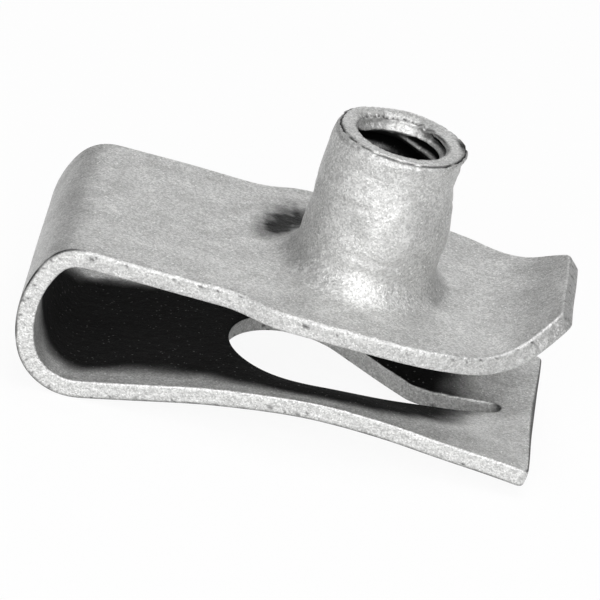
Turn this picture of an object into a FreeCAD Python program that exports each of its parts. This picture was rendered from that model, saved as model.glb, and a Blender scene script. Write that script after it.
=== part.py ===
import FreeCAD, Part
import math
import os
import Sketcher
from FreeCAD import Placement, Rotation, Vector

# U clip speed nut: one strip of sheet steel, folded to a U, with a drawn and tapped
# barrel on the upper leg and a pressed screw guide round the hole of the lower leg.
# Millimetres. The body is drawn with the barrel's axis on Z and the top of the upper
# leg at the origin, then set down on its bend and its guide as it would lie.

SIZES = {
    # The strip.
    "sheet_thickness": 1.6,
    "strip_width": 23.0,
    "pad_width": 26.0,
    # The upper leg, from the lip to the bend.
    "bend_reach": 22.6,
    "lip_reach": 10.2,
    "lip_radius": 6.6,
    "lip_turn": 43.7,
    "lip_length": 2.9,
    # The bend, three arcs from the upper leg round to the lower one.
    "bend_top_radius": 3.5,
    "bend_top_turn": 59.0,
    "bend_back_radius": 9.3,
    "bend_back_turn": 56.5,
    "bend_foot_radius": 5.1,
    # The lower leg, which rises from the bend, arches over and runs down to the tip.
    "foot_slope": 13.8,
    "foot_length": 8.2,
    "arch_start_length": 1.0,
    "arch_radius": 59.4,
    "tip_slope": 4.4,
    "tip_reach": 17.55,
    "tip_corner_radius": 1.0,
    # The plan outline of the pad and its nose.
    "shoulder_start": 11.0,
    "shoulder_end": 5.0,
    "nose_start": 4.0,
    "nose_width": 12.0,
    "nose_corner_radius": 1.4,
    # The drawn barrel.
    "barrel_height": 12.7,
    "barrel_radius": 5.7,
    "barrel_foot_radius": 6.0,
    "barrel_neck_height": 8.6,
    "barrel_flare_radius": 2.2,
    "rim_face_radius": 5.25,
    "rim_bevel_height": 0.5,
    "bore_radius": 3.4,
    "mouth_radius": 3.95,
    "mouth_depth": 0.6,
    "entry_radius": 1.8,
    # The screw guide pressed down round the lower hole.
    "guide_depth": 3.1,
    "guide_half_width": 10.0,
    "guide_floor_share": 0.2,
    "guide_shoulder_share": 0.3,
    "guide_start": 9.2,
    "guide_deepest_back": 1.2,
    # The drop-shaped hole of the lower leg, which runs out into a slot towards the tip.
    "hole_radius": 6.2,
    "hole_back": 3.0,
    "hole_flank_slope": 28.0,
    "hole_blend_radius": 5.0,
    "slot_width": 2.5,
    "slot_reach": 14.7,
}

# Cross-sections of the lower leg, and the depth that stands for a flat one.
GUIDE_SECTIONS = 9
FLAT_DEPTH = 0.05
# How far cutting outlines reach past the strip, and how far round the nose's arc may run
# out past the lip, as a share of its radius.
CLEAR = 10.0
MOST_OVERRUN = 0.98
# Where the hole is cut from below the upper leg, and how far the bore's cut overruns.
HOLE_SKETCH_GAP = 1.0
BORE_OVERRUN = 1.0
# How near an edge lies to where it is looked for, how many of its points are looked at,
# and how long a short one is in sheets.
NEAR = 0.1
EDGE_POINTS = 9
SHORT_EDGE = 2.0
# The search for the angle at which the nut lies.
REST_SEARCH = 20.0
REST_STEPS = 40
REST_TOLERANCE = 0.01
# Degrees in half a turn, and how a sketch numbers the ends and the centre of a curve.
HALF_TURN = 180.0
START, END, CENTRE = 1, 2, 3
NODE = "u_clip_nut"

doc = FreeCAD.newDocument("u_clip_speed_nut")
sheet = doc.addObject("Spreadsheet::Sheet", "Sizes")
for row, (alias, value) in enumerate(SIZES.items(), start=1):
    sheet.set(f"A{row}", alias)
    sheet.set(f"B{row}", str(value))
    sheet.setAlias(f"B{row}", alias)
doc.recompute()


def size(alias):
    """Return one driving dimension from the sheet."""
    return float(sheet.get(alias))


def unit(angle):
    """Return the direction at an angle in degrees, in a sketch's own plane."""
    return Vector(math.cos(math.radians(angle)), math.sin(math.radians(angle)), 0)


def left_of(angle):
    """Return the direction a quarter turn to the left of an angle."""
    return unit(angle + 90)


class Step:
    """One run of the folded strip's outer line, straight or round."""

    def __init__(self, start, heading, length=0.0, radius=0.0, turn=0.0):
        self.start = start
        self.heading = heading
        self.length = length
        self.radius = radius
        self.turn = turn
        self.side = math.copysign(1.0, turn)
        if turn:
            self.centre = start + left_of(heading) * (radius * self.side)

    def place(self, share, offset=0.0):
        """Return the point and heading part of the way along, offset to the left."""
        if not self.turn:
            point = self.start + unit(self.heading) * (self.length * share)
            return point + left_of(self.heading) * offset, self.heading
        heading = self.heading + self.turn * share
        reach = self.radius * self.side - offset
        return self.centre - left_of(heading) * reach, heading

    def curve(self, offset=0.0):
        """Return the line or arc, offset to the left."""
        start = self.place(0.0, offset)[0]
        end = self.place(1.0, offset)[0]
        if not self.turn:
            return Part.LineSegment(start, end)
        return Part.Arc(start, self.place(0.5, offset)[0], end)

    def run(self):
        """Return the length along this step."""
        if not self.turn:
            return self.length
        return self.radius * math.radians(abs(self.turn))


def chain(start, heading, moves):
    """Join straight runs and turns, each tangent to the one before."""
    steps = []
    for move in moves:
        steps.append(Step(start, heading, **move))
        start, heading = steps[-1].place(1.0)
    return steps


def straight(length):
    return {"length": length}


def bent(radius, turn):
    return {"radius": radius, "turn": turn}


def upper_and_bend():
    """Return the outer line from the lip's end over the leg and round the bend."""
    lip_start = Vector(size("lip_reach"), 0, 0)
    lip = Step(lip_start, 0, radius=size("lip_radius"), turn=size("lip_turn"))
    lip_foot, lip_heading = lip.place(1.0)
    lip_end = lip_foot + unit(lip_heading) * size("lip_length")
    bend_turns = size("bend_top_turn") + size("bend_back_turn")
    foot_turn = HALF_TURN + size("foot_slope") - bend_turns
    moves = [
        straight(size("lip_length")),
        bent(size("lip_radius"), -size("lip_turn")),
        straight(size("lip_reach") + size("bend_reach")),
        bent(size("bend_top_radius"), size("bend_top_turn")),
        bent(size("bend_back_radius"), size("bend_back_turn")),
        bent(size("bend_foot_radius"), foot_turn),
        straight(size("foot_length")),
    ]
    return chain(lip_end, lip_heading + HALF_TURN, moves)


def lower_leg(start, heading):
    """Return the lower leg's outer line from the end of the plain strip to the tip."""
    turn = size("foot_slope") + size("tip_slope")
    moves = [straight(size("arch_start_length")), bent(size("arch_radius"), -turn)]
    steps = chain(start, heading, moves)
    arch_end, tip_heading = steps[-1].place(1.0)
    rest = (size("tip_reach") - arch_end.x) / math.cos(math.radians(tip_heading))
    return steps + [Step(arch_end, tip_heading, length=rest)]


def place_along(steps, share):
    """Return the point and heading at a share of the whole length of some steps."""
    ahead = sum(step.run() for step in steps) * share
    for step in steps[:-1]:
        if ahead <= step.run():
            return step.place(ahead / step.run())
        ahead -= step.run()
    return steps[-1].place(min(1.0, ahead / steps[-1].run()))


def guide_depth_at(reach):
    """Return how deep the screw guide is pressed at a distance from the barrel's axis."""
    start = -size("guide_start")
    deepest = -size("guide_deepest_back")
    end = size("tip_reach")
    if reach <= start or reach >= end:
        return FLAT_DEPTH
    if reach < deepest:
        rise = (reach - start) / (deepest - start)
        share = rise * rise * (3 - 2 * rise)
    else:
        fall = (reach - deepest) / (end - deepest)
        share = 1 - fall * fall
    return max(FLAT_DEPTH, size("guide_depth") * share)


body = doc.addObject("PartDesign::Body", NODE)
body.Label = NODE


def origin_plane(role):
    """Return one of the body's own origin planes by its role."""
    for feature in body.Origin.OriginFeatures:
        if feature.Role == role:
            return feature
    raise ValueError(f"no origin plane {role}")


def new_sketch(name, role, offset=None):
    """Start a sketch on one of the body's origin planes."""
    sketch = body.newObject("Sketcher::SketchObject", name)
    sketch.AttachmentSupport = (origin_plane(role), [""])
    sketch.MapMode = "FlatFace"
    if offset is not None:
        sketch.AttachmentOffset = offset
    return sketch


def bind(sketch, constraint, name, expression):
    """Add a size to a sketch, name it and tie it to the sheet."""
    index = sketch.addConstraint(constraint)
    sketch.renameConstraint(index, name)
    sketch.setExpression(f"Constraints.{name}", expression)
    return index


def nearest_ends(sketch, first, second):
    """Return which ends of two edges meet, as the sketch numbers them."""
    pairs = [(a, b) for a in (START, END) for b in (START, END)]
    return min(pairs, key=lambda ends: sketch.getPoint(first, ends[0]).distanceToPoint(
        sketch.getPoint(second, ends[1])))


def join(sketch, first, second, smooth=False):
    """Join two edges where their ends meet."""
    kind = "Tangent" if smooth else "Coincident"
    one, two = nearest_ends(sketch, first, second)
    sketch.addConstraint(Sketcher.Constraint(kind, first, one, second, two))


def draw_loop(sketch, curves, sharp=None):
    """Draw a closed loop of curves and return their numbers.

    The joints whose numbers are in sharp are corners and the others are tangent.
    Without it, every joint is a corner.
    """
    numbers = [sketch.addGeometry(curve, False) for curve in curves]
    for index, first in enumerate(numbers):
        second = numbers[(index + 1) % len(numbers)]
        join(sketch, first, second, sharp is not None and index not in sharp)
    return numbers


def loop_of_points(points):
    """Return the straight edges of a closed polygon."""
    return [Part.LineSegment(a, b) for a, b in zip(points, points[1:] + points[:1])]


def draw_folded_strip(steps):
    """Draw the section of the lip, the upper leg, the bend and the foot."""
    thickness = size("sheet_thickness")
    sketch = new_sketch("folded_section", "XZ_Plane")
    outer = [step.curve() for step in steps]
    inner = [step.curve(thickness) for step in reversed(steps)]
    end_cap = Part.LineSegment(steps[-1].place(1.0)[0], steps[-1].place(1.0, thickness)[0])
    lip_cap = Part.LineSegment(steps[0].place(0.0, thickness)[0], steps[0].place(0.0)[0])
    count = len(steps)
    corners = {count - 1, count, 2 * count, 2 * count + 1}
    numbers = draw_loop(sketch, outer + [end_cap] + inner + [lip_cap], corners)
    outer_numbers = numbers[:count]
    inner_numbers = numbers[count + 1:2 * count + 1][::-1]
    for step, one, other in zip(steps, outer_numbers, inner_numbers):
        if step.turn:
            sketch.addConstraint(Sketcher.Constraint("Coincident", one, CENTRE, other, CENTRE))
        else:
            sketch.addConstraint(Sketcher.Constraint("Parallel", one, other))
    cap = numbers[-1]
    sketch.addConstraint(Sketcher.Constraint("Perpendicular", outer_numbers[0], cap))
    sketch.addConstraint(Sketcher.Constraint("Perpendicular", outer_numbers[-1], numbers[count]))
    bind(sketch, Sketcher.Constraint("Distance", cap, thickness), "Thickness",
         "Sizes.sheet_thickness")
    lip, lip_bend, leg, top, back, foot_bend, foot = outer_numbers
    ends = (("Lip", START, "lip_reach", ""), ("Bend", END, "bend_reach", "-"))
    for name, place, reach, sign in ends:
        sketch.addConstraint(Sketcher.Constraint("PointOnObject", leg, place, -1))
        point = sketch.getPoint(leg, place)
        bind(sketch, Sketcher.Constraint("DistanceX", -1, 1, leg, place, point.x),
             f"{name}Reach", f"{sign}Sizes.{reach}")
    for number, name in ((lip, "lip_length"), (foot, "foot_length")):
        bind(sketch, Sketcher.Constraint("Distance", number, size(name)), name, f"Sizes.{name}")
    last_turn = "(180 + Sizes.foot_slope - Sizes.bend_top_turn - Sizes.bend_back_turn) * 1deg"
    arcs = (
        (lip_bend, "lip_radius", "Sizes.lip_turn * 1deg"),
        (top, "bend_top_radius", "Sizes.bend_top_turn * 1deg"),
        (back, "bend_back_radius", "Sizes.bend_back_turn * 1deg"),
        (foot_bend, "bend_foot_radius", last_turn),
    )
    for number, radius, turn in arcs:
        length = Sketcher.Constraint("Radius", number, size(radius))
        bind(sketch, length, radius, f"Sizes.{radius}")
        angle = math.radians(abs(steps[outer_numbers.index(number)].turn))
        bind(sketch, Sketcher.Constraint("Angle", number, angle), f"turn_of_{radius}", turn)
    return sketch


def plan_outline(lip_end):
    """Return the half outline of the strip in plan, from the back to the nose."""
    narrow = size("strip_width") / 2
    wide = size("pad_width") / 2
    back = -size("bend_reach") - 2 * size("bend_back_radius")
    start = Vector(-size("shoulder_start"), narrow, 0)
    end = Vector(-size("shoulder_end"), wide, 0)
    middle = (start + end) / 2
    half_turn = math.atan2(wide - narrow, end.x - start.x)
    radius = (end.x - start.x) / 4 / math.sin(half_turn) / math.cos(half_turn)
    sag = radius * (1 - math.cos(half_turn))
    across = Vector(math.sin(half_turn), -math.cos(half_turn), 0)
    pad_end = Vector(size("nose_start"), wide, 0)
    nose_half = size("nose_width") / 2
    run = lip_end.x - pad_end.x
    drop = wide - nose_half
    nose_radius = (run * run + drop * drop) / (2 * drop)
    nose_centre = Vector(pad_end.x, wide - nose_radius, 0)
    overrun = run + size("sheet_thickness")
    nose_turn = math.degrees(math.asin(min(MOST_OVERRUN, overrun / nose_radius)))
    nose_middle = nose_centre + unit(90 - nose_turn / 2) * nose_radius
    nose_end = nose_centre + unit(90 - nose_turn) * nose_radius
    return [
        Part.LineSegment(Vector(back, narrow, 0), start),
        Part.Arc(start, (start + middle) / 2 + across * sag, middle),
        Part.Arc(middle, (middle + end) / 2 - across * sag, end),
        Part.LineSegment(end, pad_end),
        Part.Arc(pad_end, nose_middle, nose_end),
    ]


def turned_back(curve):
    """Return a line or arc that runs the other way."""
    if isinstance(curve, Part.LineSegment):
        return Part.LineSegment(curve.EndPoint, curve.StartPoint)
    middle = curve.value((curve.FirstParameter + curve.LastParameter) / 2)
    return Part.Arc(curve.EndPoint, middle, curve.StartPoint)


def mirrored(curve, scale=(1, -1)):
    """Return a curve of a sketch on the other side of its centre line, turned round."""
    back = turned_back(curve)
    flip = FreeCAD.Matrix()
    flip.A11, flip.A22 = scale
    back.transform(flip)
    return back


def end_at(sketch, number, point):
    """Return the end of an edge that lies at a point, as the sketch numbers it."""
    ends = (START,) if isinstance(sketch.Geometry[number], Part.Point) else (START, END)
    return min(ends, key=lambda end: sketch.getPoint(number, end).distanceToPoint(point))


def bind_point(sketch, number, point, name, across=None, up=None):
    """Tie one end of an edge to the sheet, measured from the sketch's origin."""
    end = end_at(sketch, number, point)
    if across is not None:
        bind(sketch, Sketcher.Constraint("DistanceX", -1, 1, number, end, point.x),
             f"{name}Across", across)
    if up is not None:
        bind(sketch, Sketcher.Constraint("DistanceY", -1, 1, number, end, point.y),
             f"{name}Up", up)


def draw_plan(lip_end):
    """Draw what is cut away round the strip's outline in plan."""
    sketch = new_sketch("plan_outline", "XY_Plane")
    half = plan_outline(lip_end)
    other = [mirrored(curve) for curve in reversed(half)]
    nose = Part.LineSegment(half[-1].EndPoint, other[0].StartPoint)
    back = Part.LineSegment(other[-1].EndPoint, half[0].StartPoint)
    count = len(half)
    corners = {count - 1, count, 2 * count, 2 * count + 1}
    numbers = draw_loop(sketch, half + [nose] + other + [back], corners)
    narrow = "Sizes.strip_width / 2"
    wide = "Sizes.pad_width / 2"
    ends = (
        ("Shoulder", 0, half[0].EndPoint, "-Sizes.shoulder_start", narrow),
        ("Pad", 3, half[3].StartPoint, "-Sizes.shoulder_end", wide),
        ("Nose", 3, half[3].EndPoint, "Sizes.nose_start", wide),
    )
    for name, index, point, across, up in ends:
        bind_point(sketch, numbers[index], point, name, across, up)
        twin = Vector(point.x, -point.y, 0)
        below = f"-{up}"
        bind_point(sketch, numbers[2 * count - index], twin, f"{name}Twin", across, below)
    lean = "(Sizes.lip_turn * 1deg)"
    lip_across = f"Sizes.lip_reach + Sizes.lip_length * cos{lean} + Sizes.lip_radius * sin{lean}"
    for name, number, sign in (("Lip", numbers[4], 1), ("LipTwin", numbers[2 * count - 4], -1)):
        point = Vector(lip_end.x, sign * size("nose_width") / 2, 0)
        mark = sketch.addGeometry(Part.Point(point), True)
        sketch.addConstraint(Sketcher.Constraint("PointOnObject", mark, 1, number))
        bind_point(sketch, mark, point, name, lip_across, f"{sign} * Sizes.nose_width / 2")
    edge = size("pad_width") / 2 + CLEAR
    left = half[0].StartPoint.x - CLEAR
    right = lip_end.x + CLEAR
    frame = [Vector(x, y, 0) for x, y in ((left, -edge), (right, -edge), (right, edge), (left, edge))]
    draw_loop(sketch, loop_of_points(frame))
    return sketch


def section_curves(depth):
    """Return the outline of one cross-section of the lower leg, pressed down by a depth.

    The sheet runs level from each edge to a round shoulder, straight down a flank and
    round the floor in the middle.
    """
    edge = size("strip_width") / 2
    middle = size("sheet_thickness") / 2
    reach = size("guide_half_width")
    round_share = size("guide_floor_share") + size("guide_shoulder_share")
    turn = math.atan2(depth, reach * (1 - round_share / 2))
    floor = reach * size("guide_floor_share") / math.sin(turn)
    shoulder = reach * size("guide_shoulder_share") / math.sin(turn)
    drop = reach * (round_share * math.tan(turn / 2) + (1 - round_share) * math.tan(turn))
    floor_centre = Vector(0, middle - drop + floor, 0)
    shoulder_centre = Vector(reach, middle - shoulder, 0)

    def on_floor(share, offset):
        return floor_centre + unit(-90 + math.degrees(turn) * share) * (floor - offset)

    def on_shoulder(share, offset):
        return shoulder_centre + unit(90 + math.degrees(turn) * share) * (shoulder + offset)

    def one_side(offset):
        rim = Vector(edge, middle + offset, 0)
        return [
            Part.LineSegment(on_floor(1, offset), on_shoulder(1, offset)),
            Part.Arc(on_shoulder(1, offset), on_shoulder(0.5, offset), on_shoulder(0, offset)),
            Part.LineSegment(on_shoulder(0, offset), rim),
        ]

    def flipped(point):
        return Vector(-point.x, point.y, 0)

    def whole_line(offset):
        near = one_side(offset)
        far = [mirrored(curve, (-1, 1)) for curve in reversed(near)]
        bottom = Part.Arc(flipped(on_floor(1, offset)), on_floor(0, offset), on_floor(1, offset))
        return far + [bottom] + near

    lower = whole_line(-middle)
    upper = [turned_back(curve) for curve in reversed(whole_line(middle))]
    right = Part.LineSegment(lower[-1].EndPoint, upper[0].StartPoint)
    left = Part.LineSegment(upper[-1].EndPoint, lower[0].StartPoint)
    return lower + [right] + upper + [left]


def draw_leg_sections(steps):
    """Draw the cross-sections that the lower leg is lofted through."""
    sketches = []
    for index in range(GUIDE_SECTIONS):
        point, heading = place_along(steps, index / (GUIDE_SECTIONS - 1))
        depth = guide_depth_at(point.x)
        if index in (0, GUIDE_SECTIONS - 1):
            depth = FLAT_DEPTH
        lean = Rotation(Vector(0, 1, 0), -heading)
        across = lean * Rotation(Vector(0, 1, 0), Vector(0, 0, 1), Vector(1, 0, 0), "ZXY")
        place = Placement(Vector(point.x, 0, point.y), across)
        sketch = new_sketch(f"leg_section_{index}", "XY_Plane", place)
        curves = section_curves(depth)
        half = len(curves) // 2
        corners = {half - 2, half - 1, 2 * half - 2, 2 * half - 1}
        numbers = draw_loop(sketch, curves, corners)
        bind(sketch, Sketcher.Constraint("Distance", numbers[-1], size("sheet_thickness")),
             "Thickness", "Sizes.sheet_thickness")
        rim = curves[half - 2].EndPoint
        bind_point(sketch, numbers[half - 2], rim, "Rim", "Sizes.strip_width / 2")
        far_rim = Vector(-rim.x, rim.y, 0)
        bind_point(sketch, numbers[0], far_rim, "FarRim", "-Sizes.strip_width / 2")
        shoulder = curves[0].EndPoint
        bind_point(sketch, numbers[0], shoulder, "Shoulder", "-Sizes.guide_half_width")
        sketches.append(sketch)
    return sketches


def cut_by(sketch, name, groove=False, both_ways=False):
    """Cut a sketch out of the body, round the upright axis or straight through."""
    doc.recompute()
    before = body.Shape.Volume
    cut = body.newObject("PartDesign::Groove" if groove else "PartDesign::Pocket", name)
    cut.Profile = sketch
    if groove:
        cut.ReferenceAxis = (sketch, ["V_Axis"])
        cut.Angle = 360
    else:
        cut.Type = "ThroughAll"
        cut.SideType = "Symmetric" if both_ways else "One side"
    doc.recompute()
    if not body.Shape.Volume < before:
        raise ValueError(f"{name} cuts nothing")
    return cut


def round_edges(name, alias, chosen):
    """Round the body's edges that a test picks, by a radius from the sheet."""
    doc.recompute()
    tip = body.Tip
    edges = enumerate(tip.Shape.Edges, start=1)
    names = [f"Edge{number}" for number, edge in edges if chosen(edge)]
    if not names:
        raise ValueError(f"{name} finds no edge")
    fillet = body.newObject("PartDesign::Fillet", name)
    fillet.Base = (tip, names)
    fillet.setExpression("Radius", f"Sizes.{alias}")
    doc.recompute()
    if "Invalid" in fillet.State or not fillet.Shape.isValid():
        raise ValueError(f"{name} can't be rounded")
    return fillet


def draw_hole():
    """Draw the drop-shaped hole, round at the back, with a slot that runs towards the tip."""
    below = -size("sheet_thickness") - HOLE_SKETCH_GAP
    place = Placement(Vector(0, 0, below), Rotation())
    sketch = new_sketch("hole_outline", "XY_Plane", place)
    radius = size("hole_radius")
    blend = size("hole_blend_radius")
    slot = size("slot_width") / 2
    slope = size("hole_flank_slope")
    out = left_of(-slope)
    centre = Vector(-size("hole_back"), 0, 0)
    end_centre = Vector(size("slot_reach") - slot, 0, 0)
    ahead = (radius + blend - (slot + blend) * out.y) / out.x
    blend_centre = Vector(centre.x + ahead, slot + blend, 0)
    side = [
        Part.LineSegment(end_centre + unit(90) * slot, blend_centre - unit(90) * blend),
        Part.Arc(blend_centre - unit(90) * blend, blend_centre - left_of(-slope / 2) * blend,
                 blend_centre - out * blend),
        Part.LineSegment(blend_centre - out * blend, centre + out * radius),
    ]
    back = Part.Arc(side[-1].EndPoint, centre - unit(0) * radius, mirrored(side[-1]).StartPoint)
    end = Part.Arc(mirrored(side[0]).EndPoint, end_centre + unit(0) * slot, side[0].StartPoint)
    far_side = [mirrored(curve) for curve in reversed(side)]
    numbers = draw_loop(sketch, side + [back] + far_side + [end], set())
    for number in (numbers[0], numbers[6]):
        sketch.addConstraint(Sketcher.Constraint("Horizontal", number))
    for number, name in ((numbers[1], "Blend"), (numbers[5], "FarBlend")):
        bind(sketch, Sketcher.Constraint("Radius", number, blend), name, "Sizes.hole_blend_radius")
    for number, name, middle, reach, expression in (
        (numbers[3], "Hole", centre.x, radius, "Sizes.hole_radius"),
        (numbers[7], "SlotEnd", end_centre.x, slot, "Sizes.slot_width / 2"),
    ):
        bind(sketch, Sketcher.Constraint("Radius", number, reach), name, expression)
        across = "-Sizes.hole_back" if name == "Hole" else "Sizes.slot_reach - Sizes.slot_width / 2"
        centre_across = Sketcher.Constraint("DistanceX", -1, START, number, CENTRE, middle)
        bind(sketch, centre_across, f"{name}Centre", across)
        sketch.addConstraint(Sketcher.Constraint("PointOnObject", number, CENTRE, -1))
    arc = math.radians(HALF_TURN + 2 * slope)
    bind(sketch, Sketcher.Constraint("Angle", numbers[3], arc), "FlankSlope",
         "180deg + 2deg * Sizes.hole_flank_slope")
    return sketch


def draw_barrel():
    """Draw half the barrel's outer shape, from inside the sheet up to the rim."""
    sketch = new_sketch("barrel_profile", "XZ_Plane")
    height = size("barrel_height")
    root = -size("sheet_thickness") / 2
    bevel = height - size("rim_bevel_height")
    points = [
        Vector(0, root, 0),
        Vector(size("barrel_foot_radius"), root, 0),
        Vector(size("barrel_radius"), size("barrel_neck_height"), 0),
        Vector(size("barrel_radius"), bevel, 0),
        Vector(size("rim_face_radius"), height, 0),
        Vector(0, height, 0),
    ]
    numbers = draw_loop(sketch, loop_of_points(points))
    top = "Sizes.barrel_height"
    sizes = (
        ("Root", 0, points[1], "Sizes.barrel_foot_radius", "-Sizes.sheet_thickness / 2"),
        ("Neck", 1, points[2], "Sizes.barrel_radius", "Sizes.barrel_neck_height"),
        ("Bevel", 2, points[3], "Sizes.barrel_radius", f"{top} - Sizes.rim_bevel_height"),
        ("Rim", 3, points[4], "Sizes.rim_face_radius", top),
    )
    for name, index, point, across, up in sizes:
        bind_point(sketch, numbers[index], point, name, across, up)
    sketch.addConstraint(Sketcher.Constraint("PointOnObject", numbers[0], 1, -2))
    sketch.addConstraint(Sketcher.Constraint("Horizontal", numbers[0]))
    sketch.addConstraint(Sketcher.Constraint("PointOnObject", numbers[5], 1, -2))
    sketch.addConstraint(Sketcher.Constraint("Horizontal", numbers[4]))
    return sketch


def draw_bore():
    """Draw half the bore, with its opened mouth."""
    sketch = new_sketch("bore_profile", "XZ_Plane")
    height = size("barrel_height")
    foot = -size("sheet_thickness") - BORE_OVERRUN
    points = [
        Vector(0, foot, 0),
        Vector(size("bore_radius"), foot, 0),
        Vector(size("bore_radius"), height - size("mouth_depth"), 0),
        Vector(size("mouth_radius"), height, 0),
        Vector(size("mouth_radius"), height + BORE_OVERRUN, 0),
        Vector(0, height + BORE_OVERRUN, 0),
    ]
    numbers = draw_loop(sketch, loop_of_points(points))
    sizes = (
        ("Foot", 0, points[1], "Sizes.bore_radius", None),
        ("Wall", 1, points[2], "Sizes.bore_radius", "Sizes.barrel_height - Sizes.mouth_depth"),
        ("Mouth", 2, points[3], "Sizes.mouth_radius", "Sizes.barrel_height"),
    )
    for name, index, point, across, up in sizes:
        bind_point(sketch, numbers[index], point, name, across, up)
    return sketch


def ring_on_leg(radius, below=0.0):
    """Return a test for the edges round the barrel's axis at a level below the leg's top."""
    def chosen(edge):
        points = edge.discretize(EDGE_POINTS)
        level = max(abs(point.z + below) for point in points)
        return level < NEAR and abs(max(math.hypot(p.x, p.y) for p in points) - radius) < NEAR * radius
    return chosen


def corners_of(reach, least_half_width, high):
    """Return a test for the short edges across the sheet at the corners of an end."""
    def chosen(edge):
        middle = edge.CenterOfMass
        level = middle.z > 0 if high else middle.z < 0
        short = edge.Length < SHORT_EDGE * size("sheet_thickness")
        heights = [vertex.Point.z for vertex in edge.Vertexes]
        rises = max(heights) - min(heights) > size("sheet_thickness") / 2
        return rises and short and level and middle.x > reach and abs(middle.y) > least_half_width
    return chosen


def deepest_point(points, tilt):
    """Return how low some points lie once the nut is tipped by an angle."""
    turned = Rotation(Vector(0, 1, 0), tilt)
    return min((turned * point).z for point in points)


def rest_tilt(bend_points, leg_points):
    """Return the tilt at which the bend and the lower leg touch one level."""
    low, high = -REST_SEARCH, REST_SEARCH
    for _ in range(REST_STEPS):
        middle = (low + high) / 2
        if deepest_point(bend_points, middle) < deepest_point(leg_points, middle):
            low = middle
        else:
            high = middle
    return (low + high) / 2


def set_down():
    """Place the body as it lies, centred over the origin and standing on zero."""
    points = body.Shape.tessellate(REST_TOLERANCE)[0]
    bend_points = [point for point in points if point.x < -size("guide_start")]
    leg_points = [point for point in points if point.x > 0]
    tilt = rest_tilt(bend_points, leg_points)
    turn = Rotation(Vector(0, 1, 0), tilt)
    body.Placement = Placement(Vector(0, 0, 0), turn)
    doc.recompute()
    box = body.Shape.optimalBoundingBox(False, False)
    middle = box.Center
    body.Placement = Placement(Vector(-middle.x, -middle.y, -box.ZMin), turn)
    doc.recompute()
    print(f"tilt {tilt:.4f} degrees, origin at {body.Placement.Base}")


def check():
    """Stop if any object failed or the solid is not whole."""
    for item in doc.Objects:
        if {"Invalid", "Error"} & set(item.State):
            raise ValueError(f"{item.Name} failed")
    shape = body.Shape
    if shape.isNull() or not shape.isValid() or len(shape.Solids) != 1:
        raise ValueError("the nut is not one valid solid")


def main():
    steps = upper_and_bend()
    section = draw_folded_strip(steps)
    strip = body.newObject("PartDesign::Pad", "folded_strip")
    strip.Profile = section
    strip.SideType = "Symmetric"
    strip.setExpression("Length", "Sizes.pad_width")
    cut_by(draw_plan(steps[0].start), "plan_cut", both_ways=True)
    foot_end, heading = steps[-1].place(1.0)
    leg_steps = lower_leg(foot_end, heading)
    sections = draw_leg_sections(leg_steps)
    doc.recompute()
    leg = body.newObject("PartDesign::AdditiveLoft", "lower_leg")
    leg.Profile = sections[0]
    leg.Sections = sections[1:]
    barrel = body.newObject("PartDesign::Revolution", "barrel")
    barrel.Profile = draw_barrel()
    barrel.ReferenceAxis = (barrel.Profile[0], ["V_Axis"])
    barrel.Angle = 360
    round_edges("barrel_flare", "barrel_flare_radius", ring_on_leg(size("barrel_foot_radius")))
    cut_by(draw_bore(), "bore", groove=True)
    round_edges("bore_entry", "entry_radius", ring_on_leg(size("bore_radius"), size("sheet_thickness")))
    cut_by(draw_hole(), "guide_hole")
    round_edges("tip_corners", "tip_corner_radius",
                corners_of(size("tip_reach") - size("sheet_thickness"), size("strip_width") / 4, False))
    round_edges("nose_corners", "nose_corner_radius",
                corners_of(steps[0].start.x, size("nose_width") / 4, True))
    set_down()
    check()
    os.makedirs("parts", exist_ok=True)
    body.Shape.exportStep(f"parts/{NODE}.step")
    print(f"{NODE}: {body.Shape.Volume:.1f} cubic millimetres, {len(body.Shape.Faces)} faces")


main()
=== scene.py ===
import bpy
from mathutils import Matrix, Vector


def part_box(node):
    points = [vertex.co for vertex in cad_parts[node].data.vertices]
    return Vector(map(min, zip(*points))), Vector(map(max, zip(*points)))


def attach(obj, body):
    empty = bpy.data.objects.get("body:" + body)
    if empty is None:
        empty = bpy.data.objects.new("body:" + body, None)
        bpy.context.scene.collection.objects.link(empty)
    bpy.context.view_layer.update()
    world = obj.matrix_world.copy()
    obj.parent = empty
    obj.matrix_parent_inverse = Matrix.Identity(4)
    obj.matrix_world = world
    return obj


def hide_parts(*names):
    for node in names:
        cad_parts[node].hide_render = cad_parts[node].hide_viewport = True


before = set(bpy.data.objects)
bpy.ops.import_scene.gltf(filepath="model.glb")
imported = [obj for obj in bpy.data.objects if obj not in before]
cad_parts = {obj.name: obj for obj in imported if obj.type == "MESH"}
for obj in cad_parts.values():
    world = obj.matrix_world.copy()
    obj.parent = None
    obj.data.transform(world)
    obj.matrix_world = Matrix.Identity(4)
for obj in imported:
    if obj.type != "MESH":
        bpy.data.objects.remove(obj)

"""The looks of a U clip speed nut: folded sheet steel with a drawn, tapped barrel.

The whole nut is one closed mesh. Its sheet follows the folded line, the press marks and the cut
outlines of the solid it stands for, and its barrel carries a real screw thread. Lengths are in
millimetres until a mesh is written, and the nut's own frame has the barrel's axis on Z and the top
of the upper leg at the origin.
"""
import logging
import math
from dataclasses import dataclass, field
from enum import Enum
from typing import Iterable, Sequence

import bmesh
import bpy
import numpy as np
from mathutils import Matrix, Vector
from mathutils.bvhtree import BVHTree
from mathutils.geometry import delaunay_2d_cdt

NODE = "u_clip_nut"
BODY = "root"
MM = 0.001
# An inner point of a filled outline keeps this share of the spacing from the outline's own points.
CLEAR_SHARE = 0.62
# Points of an outline that lie closer than this are taken as one.
TOUCHING = 1e-7

log = logging.getLogger("u_clip_nut")


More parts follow.
